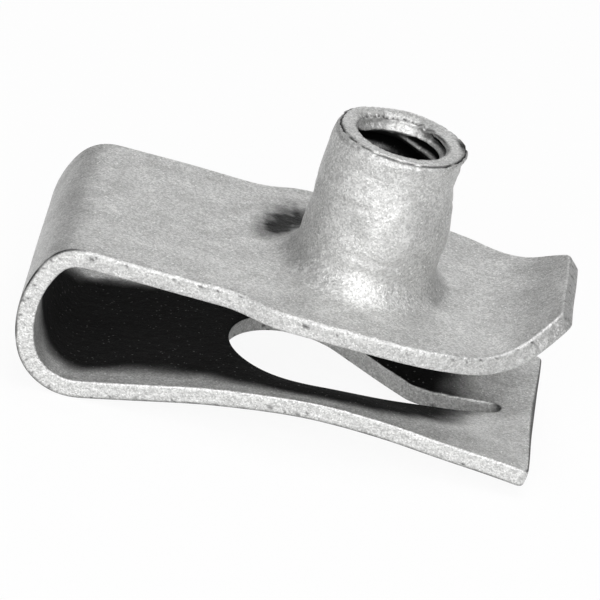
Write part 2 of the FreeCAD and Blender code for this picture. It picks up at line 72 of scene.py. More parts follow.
def srgb(code: str) -> tuple[float, float, float, float]:
    """Turn a six-digit sRGB hex code into a linear colour.

    Args:
        code: The colour as rrggbb.

    Returns:
        Linear red, green, blue and an alpha of one.
    """
    values = []
    for start in (0, 2, 4):
        value = int(code[start:start + 2], 16) / 255
        values.append(value / 12.92 if value <= 0.04045 else ((value + 0.055) / 1.055) ** 2.4)
    return (*values, 1.0)


def add_node(tree: bpy.types.NodeTree, kind: str, settings: dict | None = None,
             inputs: dict | None = None) -> bpy.types.Node:
    """Add a node, set its properties, and set or link its inputs.

    Args:
        tree: The tree that gets the node.
        kind: The node's type name.
        settings: Properties of the node by name.
        inputs: Values or output sockets by input name or number.

    Returns:
        The new node.
    """
    node = tree.nodes.new(kind)
    for name, value in (settings or {}).items():
        setattr(node, name, value)
    for name, value in (inputs or {}).items():
        if isinstance(value, bpy.types.NodeSocket):
            tree.links.new(value, node.inputs[name])
        else:
            node.inputs[name].default_value = value
    return node


def smooth_step(value: float | np.ndarray) -> float | np.ndarray:
    """Ease a share from 0 to 1, level at both ends."""
    share = np.clip(value, 0.0, 1.0)
    return share * share * (3 - 2 * share)


class Face(Enum):
    """The two faces of the sheet, by their side of its middle."""

    OUTER = 1.0
    INNER = -1.0


@dataclass(frozen=True)
class Ripple:
    """A smooth, seeded unevenness, as a sum of waves that run in all directions."""

    seed: int
    wavelength: float
    waves: int = 14
    spread: float = 0.45

    def value(self, points: np.ndarray) -> np.ndarray:
        """Return the unevenness at some points.

        Args:
            points: One row of coordinates a point, in millimetres.

        Returns:
            One value a point, mostly between -1 and 1.
        """
        maker = np.random.default_rng(self.seed)
        total = np.zeros(len(points))
        for _ in range(self.waves):
            direction = maker.normal(size=points.shape[1])
            direction /= np.linalg.norm(direction)
            length = self.wavelength * (1 + self.spread * maker.uniform(-1, 1))
            phase = maker.uniform(0, 2 * math.pi)
            total += np.sin(points @ direction * (2 * math.pi / length) + phase)
        return total / math.sqrt(self.waves)


@dataclass
class FoldedLine:
    """The outer line of the folded strip, from the lip's end round to the tip."""

    thickness: float = 1.6
    bend_reach: float = 22.6
    lip_reach: float = 10.2
    lip_radius: float = 6.6
    lip_turn: float = 43.7
    lip_length: float = 2.9
    bend_top_radius: float = 3.5
    bend_top_turn: float = 59.0
    bend_back_radius: float = 9.3
    bend_back_turn: float = 56.5
    bend_foot_radius: float = 5.1
    foot_slope: float = 13.8
    foot_length: float = 8.2
    arch_start_length: float = 1.0
    arch_radius: float = 59.4
    tip_slope: float = 4.4
    tip_reach: float = 17.55
    sample: float = 0.02
    easing: float = 0.55
    along: np.ndarray = field(init=False)
    x: np.ndarray = field(init=False)
    z: np.ndarray = field(init=False)
    heading: np.ndarray = field(init=False)
    barrel_at: float = field(init=False)
    bend_at: float = field(init=False)
    tip_at: float = field(init=False)

    def __post_init__(self) -> None:
        """Walk along the line and keep its samples."""
        foot_turn = 180 + self.foot_slope - self.bend_top_turn - self.bend_back_turn
        arch_turn = self.foot_slope + self.tip_slope
        leg = self.lip_reach + self.bend_reach
        spare = 2 * self.bend_reach
        moves = (
            (self.lip_length, 0.0),
            (self.lip_radius * math.radians(self.lip_turn), -self.lip_turn),
            (leg, 0.0),
            (self.bend_top_radius * math.radians(self.bend_top_turn), self.bend_top_turn),
            (self.bend_back_radius * math.radians(self.bend_back_turn), self.bend_back_turn),
            (self.bend_foot_radius * math.radians(foot_turn), foot_turn),
            (self.foot_length + self.arch_start_length, 0.0),
            (self.arch_radius * math.radians(arch_turn), -arch_turn),
            (spare, 0.0),
        )
        ends = np.cumsum([0.0] + [length for length, _ in moves])
        turns = np.cumsum([self.lip_turn + 180] + [turn for _, turn in moves])
        self.along = np.arange(-self.lip_length, ends[-1], self.sample)
        sharp = np.radians(np.interp(self.along, ends, turns))
        self.heading = self._eased(sharp)
        step_x = np.cos(self.heading) * self.sample
        step_z = np.sin(self.heading) * self.sample
        self.x = np.cumsum(step_x)
        self.z = np.cumsum(step_z)
        self.bend_at = float(ends[3])
        self.barrel_at = float(ends[3] - self.bend_reach)
        start = np.interp(self.barrel_at, self.along, self.x)
        level = np.interp(self.barrel_at, self.along, self.z)
        self.x -= start
        self.z -= level
        last = int(np.argmax((self.along > ends[6]) & (self.x > self.tip_reach)))
        self.tip_at = float(self.along[last])

    def _eased(self, heading: np.ndarray) -> np.ndarray:
        """Smooth the heading a little, as sheet metal takes no sudden curve.

        Args:
            heading: The heading at each sample of the line.

        Returns:
            The smoothed headings.
        """
        reach = int(3 * self.easing / self.sample)
        offsets = np.arange(-reach, reach + 1) * self.sample
        weights = np.exp(-0.5 * (offsets / self.easing) ** 2)
        padded = np.pad(heading, reach, mode="edge")
        return np.convolve(padded, weights / weights.sum(), mode="valid")

    def at(self, along: np.ndarray) -> tuple[np.ndarray, np.ndarray, np.ndarray]:
        """Return x, z and heading at some lengths along the line."""
        return (np.interp(along, self.along, self.x), np.interp(along, self.along, self.z),
                np.interp(along, self.along, self.heading))

    def along_lower(self, x: np.ndarray) -> np.ndarray:
        """Find places of the lower leg on the line.

        Args:
            x: Distances from the barrel's axis towards the tip.

        Returns:
            The lengths along the line where the lower leg has them.
        """
        lower = self.along > self.bend_at
        rising = lower & (self.x > np.min(self.x[lower]) + self.thickness) & (self.z < -self.bend_foot_radius)
        return np.interp(x, self.x[rising], self.along[rising])


@dataclass
class GuidePress:
    """How far the lower leg is pressed down, flank by flank, round its hole."""

    depth: float = 3.1
    half_width: float = 10.0
    floor: float = 2.0
    shoulder: float = 3.0
    start: float = 9.2
    deepest_back: float = 1.2
    tip_reach: float = 17.55

    def drop(self, x: np.ndarray, y: np.ndarray) -> np.ndarray:
        """Return the depth at some places of the lower leg.

        Args:
            x: Distances from the barrel's axis towards the tip.
            y: Distances from the middle of the strip.

        Returns:
            How far the sheet's middle lies below the flat strip.
        """
        rise = smooth_step((x + self.start) / (self.start - self.deepest_back))
        fall = np.clip((x + self.deepest_back) / (self.tip_reach + self.deepest_back), 0.0, 1.0)
        depth = self.depth * rise * (1 - fall * fall)
        turn = np.maximum(np.arctan2(depth, self.half_width - (self.floor + self.shoulder) / 2), 1e-5)
        side = np.abs(y)
        shoulder_radius = self.shoulder / np.sin(turn)
        floor_radius = self.floor / np.sin(turn)
        flank_end = self.half_width - self.shoulder
        near = np.clip(self.half_width - side, 0.0, self.shoulder)
        on_shoulder = shoulder_radius - np.sqrt(shoulder_radius ** 2 - near ** 2)
        on_flank = np.clip(flank_end - np.maximum(side, self.floor), 0.0, None) * np.tan(turn)
        inside = np.minimum(side, self.floor)
        on_floor = np.sqrt(floor_radius ** 2 - inside ** 2) - floor_radius * np.cos(turn)
        return on_shoulder + on_flank + on_floor


@dataclass
class PlanOutline:
    """The half width of the strip along its length."""

    strip_width: float = 23.0
    pad_width: float = 26.0
    shoulder_start: float = 11.0
    shoulder_end: float = 5.0
    nose_start: float = 4.0
    nose_width: float = 12.0
    nose_corner_radius: float = 1.4
    tip_corner_radius: float = 0.6

    def half_width(self, x: np.ndarray, lip_end: float) -> np.ndarray:
        """Return the half width of the upper leg and the lip at some x.

        Args:
            x: Distances from the barrel's axis towards the lip.
            lip_end: The x of the lip's end.

        Returns:
            Half widths in millimetres.
        """
        narrow = self.strip_width / 2
        wide = self.pad_width / 2
        share = (x + self.shoulder_start) / (self.shoulder_start - self.shoulder_end)
        share = np.clip(share, 0.0, 1.0)
        eased = np.where(share < 0.5, 2 * share ** 2, 1 - 2 * (1 - share) ** 2)
        width = narrow + (wide - narrow) * eased
        run = lip_end - self.nose_start
        drop = wide - self.nose_width / 2
        radius = (run * run + drop * drop) / (2 * drop)
        ahead = np.clip(x - self.nose_start, 0.0, radius)
        return width - (radius - np.sqrt(radius ** 2 - ahead ** 2))


@dataclass
class GuideHole:
    """The drop-shaped hole of the lower leg, which runs out into a slot."""

    radius: float = 6.2
    back: float = 3.0
    flank_slope: float = 28.0
    blend_radius: float = 5.0
    slot_width: float = 2.5
    slot_reach: float = 14.7
    arc_points: int = 60
    sheared: float = 0.25
    sheared_from: float = 5.0
    sheared_over: float = 4.0
    widened: float = 0.08
    pinched: float = 0.35
    pinched_from: float = 7.5
    pinched_over: float = 6.0
    narrowed: float = 0.9

    def outline(self) -> np.ndarray:
        """Return the hole's closed outline in plan.

        Returns:
            Rows of x and y, without a repeat of the first.
        """
        slot = self.slot_width / 2
        slope = math.radians(self.flank_slope)
        out = np.array([math.sin(slope), math.cos(slope)])
        end_x = self.slot_reach - slot
        blend_y = slot + self.blend_radius
        ahead = (self.radius + self.blend_radius - blend_y * out[1]) / out[0]
        blend = np.array([-self.back + ahead, blend_y])
        turns = np.linspace(0, 1, self.arc_points)
        slot_end = math.pi / 2 * turns
        slot_arc = np.c_[end_x + slot * np.cos(slot_end), slot * np.sin(slot_end)]
        lean = slope * turns
        blend_arc = blend - self.blend_radius * np.c_[np.sin(lean), np.cos(lean)]
        start = math.pi / 2 - slope
        around = start + (math.pi - start) * turns
        back_arc = np.c_[-self.back + self.radius * np.cos(around), self.radius * np.sin(around)]
        half = np.vstack([slot_arc, blend_arc, back_arc])
        other = half[::-1] * (1, -1)
        return self._set_aside(np.vstack([half, other[1:-1]]))

    def _set_aside(self, loop: np.ndarray) -> np.ndarray:
        """Press the slot sideways and pinch it towards its end, as in the photo.

        Args:
            loop: The hole's outline in plan.

        Returns:
            The outline with the slot set aside.
        """
        aside = smooth_step((loop[:, 0] - self.sheared_from) / self.sheared_over)
        pinch = smooth_step((loop[:, 0] - self.pinched_from) / self.pinched_over)
        width = 1 + self.widened * aside - self.narrowed * self.pinched * pinch
        return np.c_[loop[:, 0], loop[:, 1] * width + self.sheared * aside + self.pinched * pinch]


def even_loop(points: np.ndarray, spacing: float) -> np.ndarray:
    """Space the points of a closed outline evenly.

    Args:
        points: The outline's points, without a repeat of the first.
        spacing: The wanted distance between neighbours.

    Returns:
        The outline with evenly spaced points.
    """
    closed = np.vstack([points, points[:1]])
    steps = np.linalg.norm(np.diff(closed, axis=0), axis=1)
    keep = np.r_[True, steps > 1e-9]
    closed = closed[keep]
    ends = np.r_[0.0, np.cumsum(np.linalg.norm(np.diff(closed, axis=0), axis=1))]
    count = int(round(ends[-1] / spacing))
    places = np.linspace(0.0, ends[-1], count, endpoint=False)
    return np.c_[np.interp(places, ends, closed[:, 0]), np.interp(places, ends, closed[:, 1])]


def loop_normals(loop: np.ndarray) -> np.ndarray:
    """Return the unit normals of a closed outline.

    Args:
        loop: The outline's points.

    Returns:
        One normal a point, to the left of the outline's run.
    """
    ahead = np.roll(loop, -1, axis=0) - np.roll(loop, 1, axis=0)
    ahead /= np.linalg.norm(ahead, axis=1)[:, None]
    return np.c_[-ahead[:, 1], ahead[:, 0]]


def inside_loop(points: np.ndarray, loop: np.ndarray) -> np.ndarray:
    """Tell which points lie inside a closed outline.

    Args:
        points: Rows of two coordinates.
        loop: The outline's points.

    Returns:
        One truth value a point.
    """
    inside = np.zeros(len(points), bool)
    ends = np.roll(loop, -1, axis=0)
    for (x0, y0), (x1, y1) in zip(loop, ends):
        if y0 == y1:
            continue
        crosses = (points[:, 1] < y0) != (points[:, 1] < y1)
        edge = x0 + (points[:, 1] - y0) * (x1 - x0) / (y1 - y0)
        inside ^= crosses & (points[:, 0] < edge)
    return inside


def far_from(points: np.ndarray, loop: np.ndarray, distance: float) -> np.ndarray:
    """Tell which points keep a distance from all points of an outline.

    Args:
        points: Rows of two coordinates.
        loop: The outline's points.
        distance: The distance to keep.

    Returns:
        One truth value a point.
    """
    clear = np.ones(len(points), bool)
    limit = distance * distance
    at_once = 2000
    for part in np.array_split(np.arange(len(points)), max(1, len(points) // at_once)):
        gaps = points[part, None, :] - loop[None, :, :]
        clear[part] = (gaps ** 2).sum(axis=2).min(axis=1) > limit
    return clear


def within(points: np.ndarray, outer: np.ndarray, holes: Sequence[np.ndarray]) -> np.ndarray:
    """Tell which points lie inside an outline and outside its holes.

    Args:
        points: Rows of two coordinates.
        outer: The outline's points.
        holes: The points of each hole's outline.

    Returns:
        One truth value a point.
    """
    inside = inside_loop(points, outer)
    for hole in holes:
        inside &= ~inside_loop(points, hole)
    return inside


def fill_outline(outer: np.ndarray, holes: Sequence[np.ndarray], spacing: float
                 ) -> tuple[np.ndarray, list[tuple[int, int, int]]]:
    """Fill a flat outline with even triangles.

    Args:
        outer: The closed outline round the area.
        holes: Closed outlines of its holes.
        spacing: The distance between inner points.

    Returns:
        The points, and the triangles that join them.
    """
    low = outer.min(axis=0)
    high = outer.max(axis=0)
    rise = spacing * math.sqrt(3) / 2
    lattice = []
    for number, row in enumerate(np.arange(low[1] + rise / 2, high[1], rise)):
        start = low[0] + spacing * (0.5 if number % 2 else 1.0)
        lattice += [(place, row) for place in np.arange(start, high[0], spacing)]
    lattice = np.array(lattice)
    loops = [outer, *holes]
    keep = within(lattice, outer, holes)
    for loop in loops:
        keep &= far_from(lattice, loop, CLEAR_SHARE * spacing)
    points = np.vstack([*loops, lattice[keep]])
    edges = []
    first = 0
    for loop in loops:
        numbers = np.arange(len(loop))
        edges += [(first + a, first + (a + 1) % len(loop)) for a in numbers]
        first += len(loop)
    found = delaunay_2d_cdt([Vector(point) for point in points], edges, [], 1, TOUCHING)
    flat = np.array([tuple(point) for point in found[0]])
    triangles = np.array(found[2])
    middles = flat[triangles].mean(axis=1)
    wanted = within(middles, outer, holes)
    return flat, [tuple(map(int, triangle)) for triangle in triangles[wanted]]


@dataclass
class MeshParts:
    """The points and faces of a mesh while it is put together."""

    points: list[np.ndarray] = field(default_factory=list)
    faces: list[tuple[int, ...]] = field(default_factory=list)
    cut: list[np.ndarray] = field(default_factory=list)
    grime_and_painted_shade: list[np.ndarray] = field(default_factory=list)
    count: int = 0

    def add(self, points: np.ndarray, faces: Iterable[Sequence[int]], cut: float | np.ndarray = 0.0,
            grime_and_painted_shade: float | np.ndarray = 0.0) -> None:
        """Add points and the faces between them.

        Args:
            points: Rows of x, y and z in the nut's frame.
            faces: Point numbers of each face, counted from this call's first point.
            cut: How much each point belongs to a sheared edge, from 0 to 1.
            grime_and_painted_shade: The dark residue and painted shade on each point, from 0 to 1. Below zero
                it lifts the painted shade of the hollows.
        """
        self.points.append(points)
        self.cut.append(np.broadcast_to(np.asarray(cut, float), (len(points),)).copy())
        self.grime_and_painted_shade.append(np.broadcast_to(np.asarray(grime_and_painted_shade, float), (len(points),)).copy())
        self.faces += [tuple(number + self.count for number in face) for face in faces]
        self.count += len(points)

    def add_rows(self, rows: Sequence[np.ndarray], cut: Sequence[float], grime_and_painted_shade: np.ndarray) -> None:
        """Join closed rows of points, each as long as the next, by quads.

        Args:
            rows: The rows, in their order.
            cut: How much each row belongs to a sheared edge.
            grime_and_painted_shade: The residue and painted shade on each point, one row of values a row of
                points.
        """
        columns = len(rows[0])
        faces = []
        for row in range(len(rows) - 1):
            base = row * columns
            for column in range(columns):
                ahead = (column + 1) % columns
                faces.append((base + column, base + ahead, base + columns + ahead, base + columns + column))
        self.add(np.vstack(rows), faces, np.repeat(cut, columns), grime_and_painted_shade.ravel())


@dataclass
class SheetSkin:
    """Both faces and all cut edges of the folded strip."""

    line: FoldedLine = field(default_factory=FoldedLine)
    press: GuidePress = field(default_factory=GuidePress)
    plan: PlanOutline = field(default_factory=PlanOutline)
    hole: GuideHole = field(default_factory=GuideHole)
    edge_spacing: float = 0.2
    face_spacing: float = 0.42
    die_roll: float = 0.32
    burr_roll: float = 0.2
    roll_rows: int = 5
    wall_rows: int = 4
    wall_roughness: float = 0.025
    tear_wave: float = 0.9
    fine_tear_wave: float = 0.35
    fine_tear: float = 0.5
    slope_step: float = 0.02
    slope_places: int = 8
    corner_points: int = 24
    settling: int = 6
    outline_seed: int = 5
    hole_seed: int = 23
    chip_wave: float = 0.75
    chip_shape: tuple[int, ...] = (1, 1, 2)
    chip_from: float = 1.0
    chip_over: float = 0.5
    chip_dark: float = 0.7
    chip_faint: float = 0.2
    upper_dust: float = 0.1
    tip_run: float = 0.1
    # Painted shade on the inner rounding of the tip's edge.
    tip_painted_shade: float = 0.7
    patch_wave: float = 1.6
    patch_usual: float = 0.75
    patch_swing: float = 0.25
    # Painted shade on the first rows of the outer rounding along the bend and the lower leg, where the edge
    # turns away.
    turned_away_painted_shade: tuple[float, ...] = (0.2, 1.0, 0.9, 0.4)

    def place(self, flat: np.ndarray, height: np.ndarray | float) -> np.ndarray:
        """Put points of the flat blank where the folded sheet has them.

        Args:
            flat: Rows of length along the strip and distance from its middle.
            height: Distance from the middle of the sheet, outer face up.

        Returns:
            Rows of x, y and z in the nut's frame.
        """
        step = self.slope_step
        here = self._middle(flat)
        along = self._middle(flat + (step, 0)) - self._middle(flat - (step, 0))
        across = self._middle(flat + (0, step)) - self._middle(flat - (0, step))
        normal = np.cross(across, along)
        normal /= np.linalg.norm(normal, axis=1)[:, None]
        return here + normal * np.broadcast_to(np.asarray(height, float), (len(flat),))[:, None]

    def _middle(self, flat: np.ndarray) -> np.ndarray:
        """Return the middle of the sheet for points of the flat blank.

        Args:
            flat: Rows of length along the strip and distance from its middle.

        Returns:
            Rows of x, y and z in the nut's frame.
        """
        x, z, heading = self.line.at(flat[:, 0])
        lower = flat[:, 0] > self.line.bend_at + self.line.bend_top_radius
        drop = np.where(lower, self.press.drop(x, flat[:, 1]), 0.0) * (x > -self.press.start)
        inward = self.line.thickness / 2 - drop
        return np.c_[x - np.sin(heading) * inward, flat[:, 1], z + np.cos(heading) * inward]

    def outline(self) -> np.ndarray:
        """Return the blank's closed outline.

        Returns:
            Rows of length along the strip and distance from its middle.
        """
        line = self.line
        lip_end = float(line.at(np.array([0.0]))[0][0])
        places = np.arange(0.0, line.tip_at, self.edge_spacing / 4)
        upper = places < line.bend_at
        width = np.where(upper, self.plan.half_width(line.at(places)[0], lip_end), self.plan.strip_width / 2)
        near = self.slope_places
        slope = (width[near] - width[0]) / (places[near] - places[0])
        nose = self._end_corner(width[0], slope, self.plan.nose_corner_radius)
        tip = self._end_corner(width[-1], 0.0, self.plan.tip_corner_radius)
        side = np.c_[places, width]
        side = side[(places > nose[-1, 0]) & (places < line.tip_at - tip[-1, 0])]
        tip_corner = np.c_[line.tip_at - tip[:, 0], tip[:, 1]][::-1]
        half = np.vstack([nose, side, tip_corner])
        loop = np.vstack([half, half[::-1] * (1, -1)])
        return even_loop(loop, self.edge_spacing)

    def _end_corner(self, width: float, slope: float, radius: float) -> np.ndarray:
        """Return the round corner between an end of the strip and its side.

        Args:
            width: The strip's half width at its end.
            slope: How fast the half width grows from there.
            radius: The corner's radius.

        Returns:
            Rows of distance from the end and from the strip's middle.
        """
        lean = math.atan(slope)
        middle = np.array([radius, width + slope * radius - radius / math.cos(lean)])
        angles = np.linspace(math.pi, math.pi / 2 + lean, self.corner_points)
        return middle + radius * np.c_[np.cos(angles), np.sin(angles)]

    def hole_loop(self) -> np.ndarray:
        """Return the hole's outline in plan, evenly spaced."""
        return even_loop(self.hole.outline(), self.edge_spacing)

    def _upright(self, plan: np.ndarray, height: float) -> np.ndarray:
        """Return the places on the blank that end up at some x and y of one face.

        Args:
            plan: Rows of x and y on the lower leg.
            height: Distance of the face from the middle of the sheet.

        Returns:
            Rows of length along the strip and distance from its middle.
        """
        flat = np.c_[self.line.along_lower(plan[:, 0]), plan[:, 1]]
        for _ in range(self.settling):
            flat = flat + (plan - self.place(flat, height)[:, :2])
        return flat

    def circle(self, radius: float, columns: int) -> np.ndarray:
        """Return a circle round the barrel's axis on the flat blank."""
        angles = np.arange(columns) * (2 * math.pi / columns)
        return np.c_[self.line.barrel_at - radius * np.cos(angles), radius * np.sin(angles)]

    @staticmethod
    def _rounding(start: np.ndarray, corner: np.ndarray, end: np.ndarray, share: float) -> np.ndarray:
        """Return one row of the rounding that leads past a sharp corner."""
        return start * (1 - share) ** 2 + corner * 2 * share * (1 - share) + end * share ** 2

    def edge_rows(self, outer: tuple[np.ndarray, np.ndarray], inner: tuple[np.ndarray, np.ndarray], seed: int
                  ) -> tuple[list[np.ndarray], list[float]]:
        """Return the rows of points over a cut edge, from the outer face to the inner one.

        Args:
            outer: The cut's sharp edge on the outer face, and where its rounding starts on the face.
            inner: The same two on the inner face.
            seed: The seed of the edge's unevenness.

        Returns:
            The rows, and how much each is a sheared wall.
        """
        outer_edge, outer_inset = outer
        inner_edge, inner_inset = inner
        wall = inner_edge - outer_edge
        wall /= np.linalg.norm(wall, axis=1)[:, None]
        into = outer_inset - outer_edge
        into /= np.linalg.norm(into, axis=1)[:, None]
        outer_end = outer_edge + wall * self.die_roll
        inner_end = inner_edge - wall * self.burr_roll
        torn_and_painted_shadow = Ripple(seed, self.tear_wave)
        finely_torn = Ripple(seed + 1, self.fine_tear_wave)
        rows = []
        marks = []
        for share in np.linspace(0.0, 1.0, self.roll_rows):
            rows.append(self._rounding(outer_inset, outer_edge, outer_end, share))
            marks.append(share)
        for share in np.linspace(0.0, 1.0, self.wall_rows + 1)[1:-1]:
            rough = torn_and_painted_shadow.value(outer_edge) + self.fine_tear * finely_torn.value(outer_edge + wall * share)
            bump = into * (self.wall_roughness * rough)[:, None]
            rows.append(outer_end + (inner_end - outer_end) * share + bump)
            marks.append(1.0)
        for share in np.linspace(0.0, 1.0, self.roll_rows):
            rows.append(self._rounding(inner_end, inner_edge, inner_inset, share))
            marks.append(1 - share)
        return rows, marks

    def build(self, parts: MeshParts, flare: np.ndarray, entry: np.ndarray) -> None:
        """Add both faces and the cut edges.

        Args:
            parts: The mesh that gets them.
            flare: The circle on the blank where the barrel meets the outer face.
            entry: The circle on the blank where the bore meets the inner face.
        """
        half = self.line.thickness / 2
        outline = self.outline()
        hole = self.hole_loop()
        inward = loop_normals(outline)
        if not inside_loop(outline[:1] + inward[:1] * self.die_roll, outline)[0]:
            inward = -inward
        outward = loop_normals(hole)
        if inside_loop(hole[:1] + outward[:1] * self.die_roll, hole)[0]:
            outward = -outward
        rims = []
        for face, roll, circle in ((Face.OUTER, self.die_roll, flare), (Face.INNER, self.burr_roll, entry)):
            height = half * face.value
            rim = outline + inward * roll
            hole_rim = self._upright(hole + outward * roll, height)
            flat, triangles = fill_outline(rim, [hole_rim, circle], self.face_spacing)
            parts.add(self.place(flat, height), triangles)
            rims.append(((self.place(outline, height), self.place(rim, height)),
                         (self.place(self._upright(hole, height), height), self.place(hole_rim, height))))
        # The hole's wall has no part in the lines along the outline, so it stands at length zero.
        edges = ((0, self.outline_seed, outline[:, 0]), (1, self.hole_seed, np.zeros(len(hole))))
        for number, seed, along in edges:
            rows, marks = self.edge_rows(rims[0][number], rims[1][number], seed)
            parts.add_rows(rows, marks, self._edge_grime_and_painted_shade(rows, along, seed))

    def _edge_grime_and_painted_shade(self, rows: Sequence[np.ndarray], along: np.ndarray, seed: int) -> np.ndarray:
        """Return the dark marks on a cut edge: dark chips along it, and painted shade lines where it turns
        away and along the tip's inner rounding.

        Args:
            rows: The rows of points over the edge.
            along: The length along the strip of each point of a row.
            seed: The seed of the chips.

        Returns:
            The dark chips and painted shade on each point, one row of values a row of points.
        """
        below = along > self.line.bend_at
        at_tip = along > self.line.tip_at - self.tip_run
        grime_and_painted_shade = np.zeros((len(rows), len(along)))
        for number, row in enumerate(rows):
            chips = Ripple(seed + 3, self.chip_wave).value(row * self.chip_shape)
            chips = smooth_step((chips - self.chip_from) / self.chip_over)
            strength = self.chip_dark if 1 < number <= self.roll_rows else self.chip_faint
            grime_and_painted_shade[number] = chips * strength + self.upper_dust * ~below
            # Painted shade along the inner rounding at the tip.
            if len(rows) - self.roll_rows < number < len(rows) - 1:
                grime_and_painted_shade[number] = np.maximum(grime_and_painted_shade[number], self.tip_painted_shade * at_tip)
            # Painted shade, unevenly patched, on the outer rounding rows of the bend and lower leg, where the
            # edge turns away.
            if number < len(self.turned_away_painted_shade):
                patches = np.clip(Ripple(seed + 9, self.patch_wave).value(row), -1, 1)
                patchy = self.patch_usual + self.patch_swing * patches
                grime_and_painted_shade[number] = np.maximum(grime_and_painted_shade[number], patchy * below * self.turned_away_painted_shade[number])
        return grime_and_painted_shade


